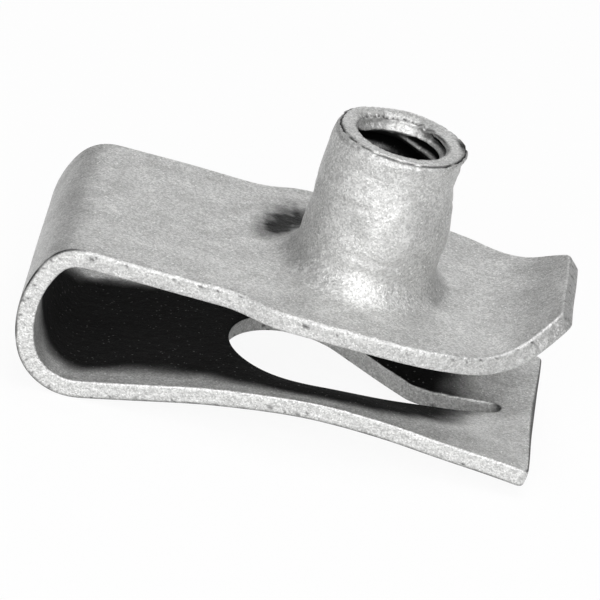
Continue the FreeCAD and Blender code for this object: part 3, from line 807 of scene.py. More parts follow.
@dataclass
class ScrewThread:
    """The thread in the barrel's bore, made by a node tree."""

    pitch: float = 1.25
    crest_radius: float = 3.4
    depth: float = 0.56
    columns: int = 240
    rows_per_turn: int = 10
    fade: float = 0.5
    crest_share: float = 0.3
    root_share: float = 0.08
    start_turn: float = 0.821
    mouth_radius: float = 4.03
    mouth_wall: float = 0.45
    mouth_taper: float = 0.22

    def plain_radius(self, sunk: float) -> float:
        """Return the radius that the wall has between the grooves, at some depth below the mouth."""
        cone = self.mouth_radius - self.mouth_taper * sunk - max(sunk - self.mouth_wall, 0.0)
        return max(self.crest_radius, cone)

    def build(self, low: float, high: float, material: bpy.types.Material) -> np.ndarray:
        """Return the rows of points of the threaded wall, from low to high.

        Args:
            low: Where the thread starts, above the upper leg's top.
            high: Where it ends.
            material: The finish that the tree sets.

        Returns:
            An array of rows by columns by coordinates.
        """
        rows = int(round((high - low) / self.pitch * self.rows_per_turn)) + 1
        values = {"Rows": rows, "Columns": self.columns + 1, "Low": low, "High": high, "Pitch": self.pitch,
                  "Crest Radius": self.crest_radius, "Depth": self.depth, "Fade": self.fade,
                  "Crest Share": self.crest_share, "Root Share": self.root_share,
                  "Start Turn": self.start_turn, "Mouth Radius": self.mouth_radius,
                  "Mouth Wall": self.mouth_wall, "Mouth Taper": self.mouth_taper, "Finish": material}
        tree = self._tree(values)
        holder = bpy.data.objects.new("thread_maker", bpy.data.meshes.new("thread_maker"))
        bpy.context.scene.collection.objects.link(holder)
        modifier = holder.modifiers.new("thread", "NODES")
        modifier.node_group = tree
        for item in tree.interface.items_tree:
            if item.in_out == "INPUT" and item.name in values:
                modifier[item.identifier] = values[item.name]
        holder.update_tag()
        evaluated = holder.evaluated_get(bpy.context.evaluated_depsgraph_get())
        mesh = bpy.data.meshes.new_from_object(evaluated)
        points = np.empty(len(mesh.vertices) * 3)
        mesh.vertices.foreach_get("co", points)
        bpy.data.objects.remove(holder)
        bpy.data.meshes.remove(mesh)
        return points.reshape(rows, self.columns + 1, 3)[:, :-1]

    @staticmethod
    def _tree(names: Iterable[str]) -> bpy.types.NodeTree:
        """Make the tree that winds the thread's wall out of a grid.

        Args:
            names: The names of the tree's inputs.

        Returns:
            The tree.
        """
        tree = bpy.data.node_groups.new("screw_thread", "GeometryNodeTree")
        kinds = {"Rows": "NodeSocketInt", "Columns": "NodeSocketInt", "Finish": "NodeSocketMaterial"}
        for name in names:
            tree.interface.new_socket(name, in_out="INPUT", socket_type=kinds.get(name, "NodeSocketFloat"))
        tree.interface.new_socket("Geometry", in_out="OUTPUT", socket_type="NodeSocketGeometry")
        given = add_node(tree, "NodeGroupInput").outputs
        grid = add_node(tree, "GeometryNodeMeshGrid", inputs={
            "Size X": 1.0, "Size Y": 1.0, "Vertices X": given["Rows"], "Vertices Y": given["Columns"]})
        place = add_node(tree, "GeometryNodeInputPosition")
        split = add_node(tree, "ShaderNodeSeparateXYZ", inputs={0: place.outputs[0]})
        groove = add_node(tree, "ShaderNodeMapRange", {"interpolation_type": "SMOOTHSTEP"})
        made = {socket.name: socket for socket in given}
        made.update({"Grid X": split.outputs["X"], "Grid Y": split.outputs["Y"], "Groove": groove.outputs[0]})
        # Each sum has a name, its kind and its values. Whole turns are added to keep the turns above zero.
        sums = (
            ("Up", "ADD", "Grid X", 0.5),
            ("Around", "ADD", "Grid Y", 0.5),
            ("Angle", "MULTIPLY", "Around", 2 * math.pi),
            ("Span", "SUBTRACT", "High", "Low"),
            ("Height", "MULTIPLY_ADD", "Up", "Span", "Low"),
            ("Sunk", "SUBTRACT", "High", "Height"),
            ("Sunk Turns", "DIVIDE", "Sunk", "Pitch"),
            ("Own Turns", "SUBTRACT", "Start Turn", "Around"),
            ("Turns", "SUBTRACT", "Own Turns", "Sunk Turns"),
            ("Positive Turns", "ADD", "Turns", 100.0),
            ("Phase", "FRACT", "Positive Turns"),
            ("Past Middle", "SUBTRACT", "Phase", 0.5),
            ("Off Middle", "ABSOLUTE", "Past Middle"),
            ("Flank", "MULTIPLY", "Off Middle", 2.0),
            ("Crest", "SUBTRACT", 1.0, "Crest Share"),
            ("Above Low", "SUBTRACT", "Height", "Low"),
            ("Faded In", "DIVIDE", "Above Low", "Fade"),
            ("Strength", "MINIMUM", "Faded In", 1.0),
            ("Cut", "MULTIPLY", "Groove", "Strength"),
            ("Cut Depth", "MULTIPLY", "Cut", "Depth"),
            ("Tapered", "MULTIPLY", "Sunk", "Mouth Taper"),
            ("Wall", "SUBTRACT", "Mouth Radius", "Tapered"),
            ("Under Wall", "SUBTRACT", "Sunk", "Mouth Wall"),
            ("Past Wall", "MAXIMUM", "Under Wall", 0.0),
            ("Cone", "SUBTRACT", "Wall", "Past Wall"),
            ("Grooved", "ADD", "Crest Radius", "Cut Depth"),
            ("Radius", "MAXIMUM", "Grooved", "Cone"),
            ("Cosine", "COSINE", "Angle"),
            ("Sine", "SINE", "Angle"),
            ("X", "MULTIPLY", "Radius", "Cosine"),
            ("Y", "MULTIPLY", "Radius", "Sine"),
        )
        for name, operation, *values in sums:
            inputs = {number: made.get(value, value) for number, value in enumerate(values)}
            made[name] = add_node(tree, "ShaderNodeMath", {"operation": operation}, inputs).outputs[0]
        for name, value in (("Value", "Flank"), ("From Min", "Crest"), ("From Max", "Root Share")):
            tree.links.new(made[value], groove.inputs[name])
        joined = add_node(tree, "ShaderNodeCombineXYZ", inputs={
            0: made["X"], 1: made["Y"], 2: made["Height"]})
        moved = add_node(tree, "GeometryNodeSetPosition", inputs={
            "Geometry": grid.outputs["Mesh"], "Position": joined.outputs[0]})
        real = add_node(tree, "GeometryNodeRealizeInstances", inputs={"Geometry": moved.outputs[0]})
        dressed = add_node(tree, "GeometryNodeSetMaterial", inputs={
            "Geometry": real.outputs[0], "Material": given["Finish"]})
        add_node(tree, "NodeGroupOutput", inputs={0: dressed.outputs[0]})
        return tree


@dataclass(frozen=True)
class Lobe:
    """A soft bump round the barrel that is strongest at one azimuth. Both angles are in degrees."""

    azimuth: float
    spread: float
    strength: float = 1.0

    def at(self, angles: np.ndarray) -> np.ndarray:
        """Return how strong the bump is at some azimuths."""
        apart = (angles - self.azimuth + 180) % 360 - 180
        return self.strength * np.exp(-0.5 * (apart / self.spread) ** 2)


@dataclass(frozen=True)
class Side:
    """A part of the way round the barrel with soft ends. All its values are in degrees."""

    start: float
    end: float
    softness: float

    def at(self, angles: np.ndarray) -> np.ndarray:
        """Return how much each azimuth belongs to the side."""
        risen = smooth_step((angles - self.start) / self.softness)
        return risen * smooth_step((self.end - angles) / self.softness)


@dataclass(frozen=True)
class PaintedShadeSpot:
    """A spot of painted shade on the upper leg, by its azimuth in degrees and its distance from the barrel's
    axis.
    """

    azimuth: float
    azimuth_spread: float
    radius: float
    radius_spread: float
    strength: float

    def at(self, azimuth: np.ndarray, radius: np.ndarray) -> np.ndarray:
        """Return how dark the spot is at some places."""
        apart = ((azimuth - self.azimuth) / self.azimuth_spread) ** 2
        away = ((radius - self.radius) / self.radius_spread) ** 2
        return self.strength * np.exp(-0.5 * (apart + away))


@dataclass(frozen=True)
class Crease:
    """A faint, broken ring that the drawing punch left in the wall."""

    height: float
    depth: float
    seed: int
    width: float = 0.2
    wander: float = 0.25
    wander_wave: float = 9.0
    break_wave: float = 5.0
    usual: float = 0.6
    strongest: float = 1.4

    def depth_at(self, track: np.ndarray, height: float) -> np.ndarray:
        """Return how far the ring goes into the wall at one level.

        Args:
            track: Places round the wall, by which the ring wanders and breaks.
            height: The level.

        Returns:
            One depth a place.
        """
        wander = self.wander * Ripple(self.seed, self.wander_wave).value(track)
        broken = self.usual + Ripple(self.seed + 1, self.break_wave).value(track)
        away = (height - self.height - wander) / self.width
        return self.depth * np.clip(broken, 0.0, self.strongest) * np.exp(-0.5 * away ** 2)


@dataclass(frozen=True)
class RimStep:
    """One row over the rim: its place, its slow and quick unevenness, its lift and its darkening, painted
    shade in the rim's groove and a dark line at the mouth.
    """

    radius: float
    level: float
    slow: float
    quick: float
    lift: float
    residue_and_painted_shade: float


@dataclass(frozen=True)
class TornTurns:
    """Where the thread's first turns are torn out round the bore, as depths below the mouth; a band of
    painted shadow goes with the tear.
    """

    azimuths: tuple[float, ...] = (0.0, 30.0, 58.0, 95.0, 133.0, 165.0, 185.0, 200.0, 210.0, 212.0)
    middles: tuple[float, ...] = (3.6, 3.4, 2.9, 2.15, 1.75, 1.25, 0.8, 0.62, 0.5, 0.5)
    halves: tuple[float, ...] = (0.0, 0.4, 0.6, 0.55, 0.5, 0.55, 0.75, 0.6, 0.1, 0.0)
    depth: float = 0.5
    softness: float = 0.22
    flank_reach: float = 0.65
    flank_height: float = 1.0
    least: float = 0.05

    def shares(self, angles: np.ndarray, sunk: float) -> tuple[np.ndarray, np.ndarray]:
        """Return how much painted shadow one row of the bore gets where it is torn, and how far its wall
        stands open.

        Args:
            angles: The azimuths of the row's points.
            sunk: The row's depth below the mouth.

        Returns:
            The painted shadow share of each point where the turns are torn, and the share of the tear's depth
            there. The lower flank of the tear is open but light, as it faces up.
        """
        middle = np.interp(angles, self.azimuths, self.middles)
        half = np.interp(angles, self.azimuths, self.halves)
        reached = half > self.least
        torn_and_painted_shadow = smooth_step((half - np.abs(sunk - middle)) / self.softness) * reached
        flank = smooth_step((middle + half + self.flank_reach - sunk) / self.flank_height) * reached
        return torn_and_painted_shadow, np.where(sunk > middle, flank, torn_and_painted_shadow)


@dataclass
class Barrel:
    """The drawn barrel: its flare, wall, rolled rim, mouth and threaded bore."""

    height: float = 12.7
    flare_radius: float = 2.25
    lean: float = 1.3
    columns: int = 240
    heights: tuple[float, ...] = (0.0, 2.2, 4.0, 5.8, 7.3, 8.2, 9.3, 10.4, 11.4, 12.0, 12.7)
    radii: tuple[float, ...] = (5.98, 5.98, 6.03, 6.0, 5.88, 5.78, 5.6, 5.58, 5.68, 5.72, 5.68)
    shifts: tuple[float, ...] = (0.0, 0.0, 0.04, 0.12, -0.13, -0.22, -0.34, -0.35, -0.3, -0.15, 0.0)
    profile_step: float = 0.05
    profile_easing: float = 0.3
    easing_steps: int = 20
    wall_rows: int = 58
    flare_rows: int = 12
    wall_ends_below: float = 0.5
    entry_radius: float = 1.8
    sheet: float = 1.6

    dent: float = 0.055
    small_dent: float = 0.6
    dent_radius: float = 5.6
    dent_stretch: float = 0.6
    dents: Ripple = Ripple(3, 6.0)
    small_dents: Ripple = Ripple(8, 2.2)
    creases: tuple[Crease, ...] = (Crease(7.5, 0.1, 51), Crease(3.5, 0.1, 53), Crease(10.6, 0.07, 57))
    # Spots of painted shade in the corner behind the flare.
    corner_shade_spots: tuple[PaintedShadeSpot, ...] = (
        PaintedShadeSpot(148.0, 15.0, 8.5, 1.1, 2.0), PaintedShadeSpot(130.0, 9.0, 10.5, 1.4, 0.6))
    corner_shade_patches: Ripple = Ripple(61, 1.3)
    corner_shade_usual: float = 0.9
    corner_shade_swing: float = 0.2
    corner_shade_from: float = 0.08
    corner_shade_floor: float = -0.3

    rim: tuple[RimStep, ...] = (
        RimStep(5.66, -0.38, 0.03, 0.01, 0.0, 0.1),
        RimStep(5.68, -0.27, 0.03, 0.06, 0.05, 0.0),
        RimStep(5.62, -0.14, 0.03, 0.07, 0.03, 0.0),
        RimStep(5.54, -0.12, 0.03, 0.05, 0.02, 0.45),
        RimStep(5.47, -0.25, 0.03, 0.02, 0.0, 1.0),
        RimStep(5.41, -0.2, 0.03, 0.03, 0.0, 0.9),
        RimStep(5.37, -0.06, 0.03, 0.03, 0.01, 0.3),
        RimStep(5.33, -0.02, 0.04, 0.02, 0.02, 0.0),
        RimStep(5.1, -0.01, 0.04, 0.01, 0.02, 0.0),
        RimStep(4.85, -0.01, 0.04, 0.01, 0.02, 0.0),
        RimStep(4.6, -0.02, 0.04, 0.01, 0.02, 0.0),
        RimStep(4.4, -0.02, 0.04, 0.015, 0.02, 0.0),
        RimStep(4.24, 0.0, 0.04, 0.03, 0.02, 0.1),
        RimStep(4.14, -0.02, 0.03, 0.045, 0.02, 0.5),
        RimStep(4.07, -0.08, 0.02, 0.03, 0.01, 0.3),
    )
    rim_top: float = 0.03
    rim_track: float = 5.33
    rim_cut: float = 0.35
    rim_sag: float = 0.7
    crack_row: int = 3
    face_row: int = 8
    mouth_row: int = 12
    rim_slow: Ripple = Ripple(11, 5.0)
    rim_quick: Ripple = Ripple(17, 0.8)
    rim_cracks: Ripple = Ripple(19, 1.3)
    burr_chips: Ripple = Ripple(29, 0.6)
    rim_pulled_in: Lobe = Lobe(267.0, 35.0, 0.4)
    rim_pushed_out: Lobe = Lobe(100.0, 60.0, 0.13)
    rim_trimmed: Lobe = Lobe(355.0, 32.0, 0.24)
    trim_from: float = 10.8
    trim_over: float = 1.0
    crack_wedge: Lobe = Lobe(15.0, 11.0)
    burr_far: Lobe = Lobe(115.0, 40.0)
    burr_right: Lobe = Lobe(35.0, 25.0)
    burr_residue: float = 0.9
    pull_shares: tuple[float, ...] = (0.0, 1.0, 0.8, 0.0)
    crack_level: float = -0.9
    crack_over: float = 0.8
    chip_level: float = -0.4
    chip_over: float = 0.6

    mouth_depth: float = 0.17
    mouth_narrowed: Lobe = Lobe(24.0, 28.0, 0.6)
    narrowed_over: float = 0.6
    torn_down: Lobe = Lobe(100.0, 42.0, 0.3)
    torn_edge: Ripple = Ripple(43, 1.1)
    torn_swing: float = 0.5
    torn_track: float = 4.1
    dipped_over: float = 1.2
    # Where painted shade falls under the mouth's lip.
    under_lip: Lobe = Lobe(28.0, 28.0, 0.9)
    under_lip_end: float = 0.7
    under_lip_over: float = 0.25
    under_lip_least: float = 0.3
    torn_and_painted_shadow: TornTurns = TornTurns()
    worn_side: Side = Side(60.0, 215.0, 25.0)
    worn_reach: float = 4.0
    worn_over: float = 0.5
    worn_share: float = 0.85
    # The near side of the bore, where the thread's grooves get no painted shade.
    groove_unshaded_side: Side = Side(210.0, 345.0, 20.0)
    # How deep into the bore the hollows' painted shade is lifted.
    shade_lift_reach: float = 4.6
    shade_lift_over: float = 0.6
    groove_from: float = 0.25
    groove_over: float = 0.5
    # How dark the painted shade in the thread's grooves is.
    groove_painted_shade: float = 0.75
    thread: ScrewThread = field(default_factory=ScrewThread)

    def angles(self) -> np.ndarray:
        """Return the azimuths of a row's points, in degrees."""
        return np.arange(self.columns) * (360 / self.columns)

    def _circle(self, radius: float) -> np.ndarray:
        """Return the x and y of a row's points on a circle."""
        turn = np.radians(self.angles())
        return radius * np.c_[np.cos(turn), np.sin(turn)]

    def _eased(self, height: float, values: Sequence[float]) -> float:
        """Return a size of the barrel at some height, without sudden kinks.

        Args:
            height: The height above the upper leg.
            values: The size at each of the barrel's named heights.

        Returns:
            The size there.
        """
        spare = 2.0
        fine = np.arange(-spare, self.height + spare, self.profile_step)
        sharp = np.interp(fine, self.heights, values)
        offsets = np.arange(-self.easing_steps, self.easing_steps + 1) * self.profile_step
        weights = np.exp(-0.5 * (offsets / self.profile_easing) ** 2)
        padded = np.pad(sharp, self.easing_steps, mode="edge")
        return float(np.interp(height, fine, np.convolve(padded, weights / weights.sum(), mode="valid")))

    def flare_end(self) -> float:
        """Return the radius where the flare meets the flat leg."""
        return self._eased(0.0, self.radii) + self.flare_radius

    def entry_end(self) -> float:
        """Return the radius where the bore meets the leg's underside."""
        return self.thread.crest_radius + self.entry_radius

    def _ring(self, radius: float | np.ndarray, height: float | np.ndarray, shift: float = 0.0) -> np.ndarray:
        """Return one row of points round the axis, which leans a little.

        Args:
            radius: The row's radius, or one for each point.
            height: The row's height, or one for each point.
            shift: How far the row lies off the axis, along x.

        Returns:
            Rows of x, y and z.
        """
        turn = np.radians(self.angles())
        rise = np.broadcast_to(np.asarray(height, float), turn.shape)
        x = radius * np.cos(turn) + shift + np.clip(rise, 0.0, None) * math.tan(math.radians(self.lean))
        return np.c_[x, radius * np.sin(turn), rise]

    def _track(self, height: float) -> np.ndarray:
        """Return places round one level of the wall, where unevenness is drawn out along the barrel."""
        return np.c_[self._circle(self.dent_radius), np.full(self.columns, height * self.dent_stretch)]

    def outside_rows(self) -> list[np.ndarray]:
        """Return the rows from the flare's foot up to the rim's outer edge.

        Returns:
            The rows, each of them points round the barrel.
        """
        rows = []
        trim = self.rim_trimmed.at(self.angles())
        for angle in np.linspace(0.0, math.pi / 2, self.flare_rows, endpoint=False):
            height = self.flare_radius * (1 - math.cos(angle))
            reach = self.flare_radius * (1 - math.sin(angle))
            fade = float(smooth_step(math.sin(angle)))
            dents = self.dent * fade * self.dents.value(self._track(height))
            rows.append(self._ring(self._eased(height, self.radii) + reach + dents, height,
                                   self._eased(height, self.shifts) * fade))
        for height in np.linspace(self.flare_radius, self.height - self.wall_ends_below, self.wall_rows):
            track = self._track(height)
            dents = self.dents.value(track) + self.small_dent * self.small_dents.value(track)
            rings = sum(crease.depth_at(self._track(0.0), height) for crease in self.creases)
            trimmed = trim * smooth_step((height - self.trim_from) / self.trim_over)
            radius = self._eased(height, self.radii) + self.dent * dents - rings - trimmed
            rows.append(self._ring(radius, height, self._eased(height, self.shifts)))
        return rows

    def corner_painted_shade(self, points: np.ndarray) -> np.ndarray:
        """Return the painted shade in the corner behind the flare.

        Args:
            points: Rows of x, y and z in the nut's frame.

        Returns:
            The painted shade on each point, from 0 to 1.
        """
        azimuth = np.degrees(np.arctan2(points[:, 1], points[:, 0])) % 360
        radius = np.hypot(points[:, 0], points[:, 1])
        patchy = self.corner_shade_usual + self.corner_shade_swing * self.corner_shade_patches.value(points)
        dark = sum(spot.at(azimuth, radius) for spot in self.corner_shade_spots)
        on_top = (points[:, 2] > self.corner_shade_floor) & (points[:, 2] < self.flare_radius)
        return np.clip(dark * patchy - self.corner_shade_from, 0.0, 1.0) * on_top

    def _mouth_edge(self) -> tuple[np.ndarray, np.ndarray]:
        """Return how far the mouth's edge reaches inwards, and how far it is torn down.

        Returns:
            Both as one value a point of a row.
        """
        angles = self.angles()
        uneven = 1 + self.torn_swing * self.torn_edge.value(self._circle(self.torn_track))
        return self.mouth_narrowed.at(angles), np.clip(self.torn_down.at(angles) * uneven, 0.0, None)

    def rim_rows(self) -> tuple[list[np.ndarray], np.ndarray]:
        """Return the rows over the torn rim and into the mouth.

        Returns:
            The rows, and the darkening on each of their points: painted shade in the rim's groove, broken
            where the cracks fall, a darker wedge, and dark marks at the mouth's burr.
        """
        angles = self.angles()
        track = self._circle(self.rim_track)
        slow = self.rim_slow.value(track)
        quick = self.rim_quick.value(track)
        cracked = smooth_step((self.rim_cracks.value(track) - self.crack_level) / self.crack_over)
        chipped = smooth_step((self.burr_chips.value(track) - self.chip_level) / self.chip_over)
        burr = self.burr_residue * np.maximum(self.burr_far.at(angles) * chipped, self.burr_right.at(angles))
        pulled = self.rim_pulled_in.at(angles) - self.rim_pushed_out.at(angles)
        trim = self.rim_trimmed.at(angles)
        narrow, dip = self._mouth_edge()
        top = self.height - self.rim_top
        rows = []
        grime_and_painted_shade = []
        for number, step in enumerate(self.rim):
            pull = np.interp(number, (1, self.crack_row, self.face_row, self.mouth_row), self.pull_shares)
            inner = np.interp(number, (self.face_row, self.mouth_row), (0.0, 1.0))
            radius = step.radius + step.slow * slow + step.quick * quick - pull * pulled
            height = top + step.level + step.lift * slow - self.rim_sag * step.quick * np.abs(quick)
            rows.append(self._ring(radius - inner * narrow - (1 - inner) * trim, height - inner ** 2 * dip))
            # Painted shade in the rim's groove, broken where the cracks fall; the wedge and the mouth's burr
            # darken too.
            dark = [step.residue_and_painted_shade * cracked]
            if self.crack_row <= number <= self.face_row:
                dark.append(self.crack_wedge.at(angles))
            if number in (self.mouth_row, self.mouth_row + 1):
                dark.append(burr)
            grime_and_painted_shade.append(np.maximum.reduce(dark))
        return rows, np.array(grime_and_painted_shade)

    def bore_rows(self, material: bpy.types.Material) -> tuple[list[np.ndarray], np.ndarray]:
        """Return the rows down the threaded bore and out at the underside.

        Args:
            material: The finish that the thread's node tree sets.

        Returns:
            The rows, and the residue and painted shade on each of their points. Below zero it lifts the
            painted shade of the hollows.
        """
        high = self.height - self.mouth_depth
        low = self.entry_radius - self.sheet
        angles = self.angles()
        narrow, dip = self._mouth_edge()
        worn_side = self.worn_share * self.worn_side.at(angles)
        groove_shaded_side = 1 - self.groove_unshaded_side.at(angles)
        lip_side = self.under_lip.at(angles)
        rows = []
        grime_and_painted_shade = []
        for row in self.thread.build(low, high, material)[::-1]:
            sunk = high - row[0, 2]
            plain = self.thread.plain_radius(sunk)
            worn = 1 - worn_side * smooth_step((self.worn_reach - sunk) / self.worn_over)
            turned = (np.hypot(row[:, 0], row[:, 1]) - plain) * worn
            # The torn share is both the tear's depth and a band of painted shadow.
            torn_and_painted_shadow, opened = self.torn_and_painted_shadow.shares(angles, sunk)
            radius = plain + turned * (1 - opened) + self.torn_and_painted_shadow.depth * opened
            radius -= narrow * max(1 - sunk / self.narrowed_over, 0.0)
            ring = self._ring(radius, row[:, 2])
            ring[:, 2] -= dip * max(1 - sunk / self.dipped_over, 0.0)
            rows.append(ring)
            # In the upper bore the painted shade of the hollows is lifted, so the wall there shows its plain
            # colour.
            painted_shade_lifted = -smooth_step((self.shade_lift_reach - sunk) / self.shade_lift_over)
            # Painted shade in the thread's grooves, left off on the near side.
            groove = smooth_step((turned / self.thread.depth - self.groove_from) / self.groove_over)
            dark = np.maximum(torn_and_painted_shadow, painted_shade_lifted + (self.groove_painted_shade - painted_shade_lifted) * groove * groove_shaded_side)
            # Painted shade under the mouth's lip on the right.
            shaded = lip_side * (sunk < self.under_lip_end) * smooth_step(sunk / self.under_lip_over)
            grime_and_painted_shade.append(np.maximum(dark, np.where(shaded > self.under_lip_least, shaded, -1.0)))
        for angle in np.linspace(0.0, math.pi / 2, self.flare_rows)[1:]:
            radius = self.thread.crest_radius + self.entry_radius * (1 - math.cos(angle))
            rows.append(self._ring(radius, low - self.entry_radius * math.sin(angle)))
            grime_and_painted_shade.append(np.zeros(self.columns))
        return rows, np.array(grime_and_painted_shade)

    def build(self, parts: MeshParts, material: bpy.types.Material) -> None:
        """Add the whole barrel from the flare over the rim to the underside.

        Args:
            parts: The mesh that gets it.
            material: The finish that the thread's node tree sets.
        """
        outside = self.outside_rows()
        rim, rim_grime_and_painted_shade = self.rim_rows()
        bore, bore_grime_and_painted_shade = self.bore_rows(material)
        marks = [0.0] * len(outside) + [self.rim_cut] * len(rim) + [0.0] * len(bore)
        wall_grime = np.zeros((len(outside), self.columns))
        parts.add_rows(outside + rim + bore, marks, np.vstack([wall_grime, rim_grime_and_painted_shade, bore_grime_and_painted_shade]))


@dataclass(frozen=True)
class ZincCoatedSteel:
    """Spring steel with a zinc coat that was tumbled on, so it is matt, light grey and grainy.

    The grain gives the eye a fine sparkle, the tumbling leaves soft cloudy patches, and the sheared
    edges are lighter. Deep hollows get painted shade, dull, rougher and nearly black, and the dark
    residue and the other painted shade show nearly black too. The real grain is too
    fine for the picture to show, so it is drawn coarser here.
    """

    light: str = "e6e6e5"
    dark: str = "cececd"
    edge: str = "dfdfde"
    # The colour of the painted shade in the nut's hollows.
    painted_shade_colour: str = "272727"
    residue_and_painted_shade: str = "161616"
    fleck: str = "f6f6f5"
    painted_glint: float = 0.12
    roughness: float = 0.58
    grain: float = 0.13
    cloud: float = 2.6
    dimple: float = 0.8
    usual_noise: tuple[float, float] = (0.3, 0.7)
    sparkle: tuple[float, float] = (0.72, 1.15)
    painted_shade_recess_range: tuple[float, float] = (0.575, 0.705)
    rare_above: float = 0.985
    painted_shade_roughness: float = 0.35
    roughness_swing: float = 0.1
    dimple_depth: float = 0.16
    dimple_strength: float = 0.7
    grain_depth: float = 0.05
    grain_strength: float = 0.6

    def material(self) -> bpy.types.Material:
        """Make the material.

        Returns:
            The material, named for the real one.
        """
        made = bpy.data.materials.new("tumbled_zinc_on_spring_steel")
        made.use_nodes = True
        tree = made.node_tree
        tree.nodes.clear()
        place = add_node(tree, "ShaderNodeTexCoord").outputs["Object"]
        clouds = add_node(tree, "ShaderNodeTexNoise", inputs={
            "Vector": place, "Scale": 1 / (self.cloud * MM), "Detail": 3.0, "Roughness": 0.55})
        grain = add_node(tree, "ShaderNodeTexNoise", inputs={
            "Vector": place, "Scale": 1 / (self.grain * MM), "Detail": 1.0, "Roughness": 0.6})
        flakes = add_node(tree, "ShaderNodeTexVoronoi", inputs={
            "Vector": place, "Scale": 1 / (self.grain * MM)})
        dimples = add_node(tree, "ShaderNodeTexNoise", inputs={
            "Vector": place, "Scale": 1 / (self.dimple * MM), "Detail": 3.0, "Roughness": 0.6})
        edge, recess, grime_and_painted_shade = (
            add_node(tree, "ShaderNodeAttribute", {"attribute_name": name}).outputs["Fac"]
            for name in ("cut_edge", "recess", "grime_and_painted_shade"))
        usual_low, usual_high = self.usual_noise
        tone = add_node(tree, "ShaderNodeMapRange", inputs={
            "Value": clouds.outputs["Fac"], "From Min": usual_low, "From Max": usual_high})
        colour = add_node(tree, "ShaderNodeMix", {"data_type": "RGBA"}, {
            "Factor": tone.outputs["Result"], "A": srgb(self.dark), "B": srgb(self.light)})
        edged = add_node(tree, "ShaderNodeMix", {"data_type": "RGBA"}, {
            "Factor": edge, "A": colour.outputs["Result"], "B": srgb(self.edge)})
        speck = add_node(tree, "ShaderNodeSeparateColor", inputs={"Color": flakes.outputs["Color"]})
        sparkle = add_node(tree, "ShaderNodeMapRange", inputs={
            "Value": speck.outputs[0], "To Min": self.sparkle[0], "To Max": self.sparkle[1]})
        spotted = add_node(tree, "ShaderNodeMix", {"data_type": "RGBA", "blend_type": "MULTIPLY"}, {
            "Factor": 1.0, "A": edged.outputs["Result"], "B": sparkle.outputs["Result"]})
        # Painted shade: the deeper a point lies in the nut's own hollows, the more its colour goes to the
        # dark painted shade colour, and the rougher it gets.
        recess_painted_shade = add_node(tree, "ShaderNodeMapRange", {"interpolation_type": "SMOOTHSTEP"}, {
            "Value": recess, "From Min": self.painted_shade_recess_range[0], "From Max": self.painted_shade_recess_range[1]})
        # Negative values lift the painted shade of the hollows.
        painted_shade_lifted = add_node(tree, "ShaderNodeMath", {"operation": "MINIMUM"}, {0: grime_and_painted_shade, 1: 0.0})
        shaded = add_node(tree, "ShaderNodeMath", {"operation": "ADD", "use_clamp": True}, {
            0: recess_painted_shade.outputs["Result"], 1: painted_shade_lifted.outputs[0]})
        rare = add_node(tree, "ShaderNodeMath", {"operation": "GREATER_THAN"}, {
            0: speck.outputs[1], 1: self.rare_above})
        flecked = add_node(tree, "ShaderNodeMix", {"data_type": "RGBA"}, {
            "Factor": rare.outputs[0], "A": spotted.outputs["Result"], "B": srgb(self.fleck)})
        # Painted glints: where the rare flecks fall, a little of their light colour stays in the painted
        # shade.
        painted_glints = add_node(tree, "ShaderNodeMath", {"operation": "MULTIPLY"}, {
            0: rare.outputs[0], 1: self.painted_glint})
        painted_shade_colour = add_node(tree, "ShaderNodeMix", {"data_type": "RGBA"}, {
            "Factor": painted_glints.outputs[0], "A": srgb(self.painted_shade_colour), "B": srgb(self.fleck)})
        with_painted_shade = add_node(tree, "ShaderNodeMix", {"data_type": "RGBA"}, {
            "Factor": shaded.outputs[0], "A": flecked.outputs["Result"], "B": painted_shade_colour.outputs["Result"]})
        # Dark residue and painted shade, carried by one attribute, pull the colour towards near black here.
        with_residue_and_painted_shade = add_node(tree, "ShaderNodeMix", {"data_type": "RGBA", "clamp_factor": True}, {
            "Factor": grime_and_painted_shade, "A": with_painted_shade.outputs["Result"], "B": srgb(self.residue_and_painted_shade)})
        rough = add_node(tree, "ShaderNodeMapRange", inputs={
            "Value": grain.outputs["Fac"], "From Min": usual_low, "From Max": usual_high,
            "To Min": self.roughness - self.roughness_swing, "To Max": self.roughness + self.roughness_swing})
        matt = add_node(tree, "ShaderNodeMath", {"operation": "MULTIPLY_ADD", "use_clamp": True}, {
            0: shaded.outputs[0], 1: self.painted_shade_roughness, 2: rough.outputs["Result"]})
        soft = add_node(tree, "ShaderNodeBump", inputs={
            "Strength": self.dimple_strength, "Distance": self.dimple_depth * MM,
            "Height": dimples.outputs["Fac"]})
        fine = add_node(tree, "ShaderNodeBump", inputs={
            "Strength": self.grain_strength, "Distance": self.grain_depth * MM,
            "Height": grain.outputs["Fac"], "Normal": soft.outputs["Normal"]})
        shader = add_node(tree, "ShaderNodeBsdfPrincipled", inputs={
            "Base Color": with_residue_and_painted_shade.outputs["Result"], "Metallic": 1.0,
            "Roughness": matt.outputs[0], "Normal": fine.outputs["Normal"]})
        add_node(tree, "ShaderNodeOutputMaterial", inputs={"Surface": shader.outputs[0]})
        return made


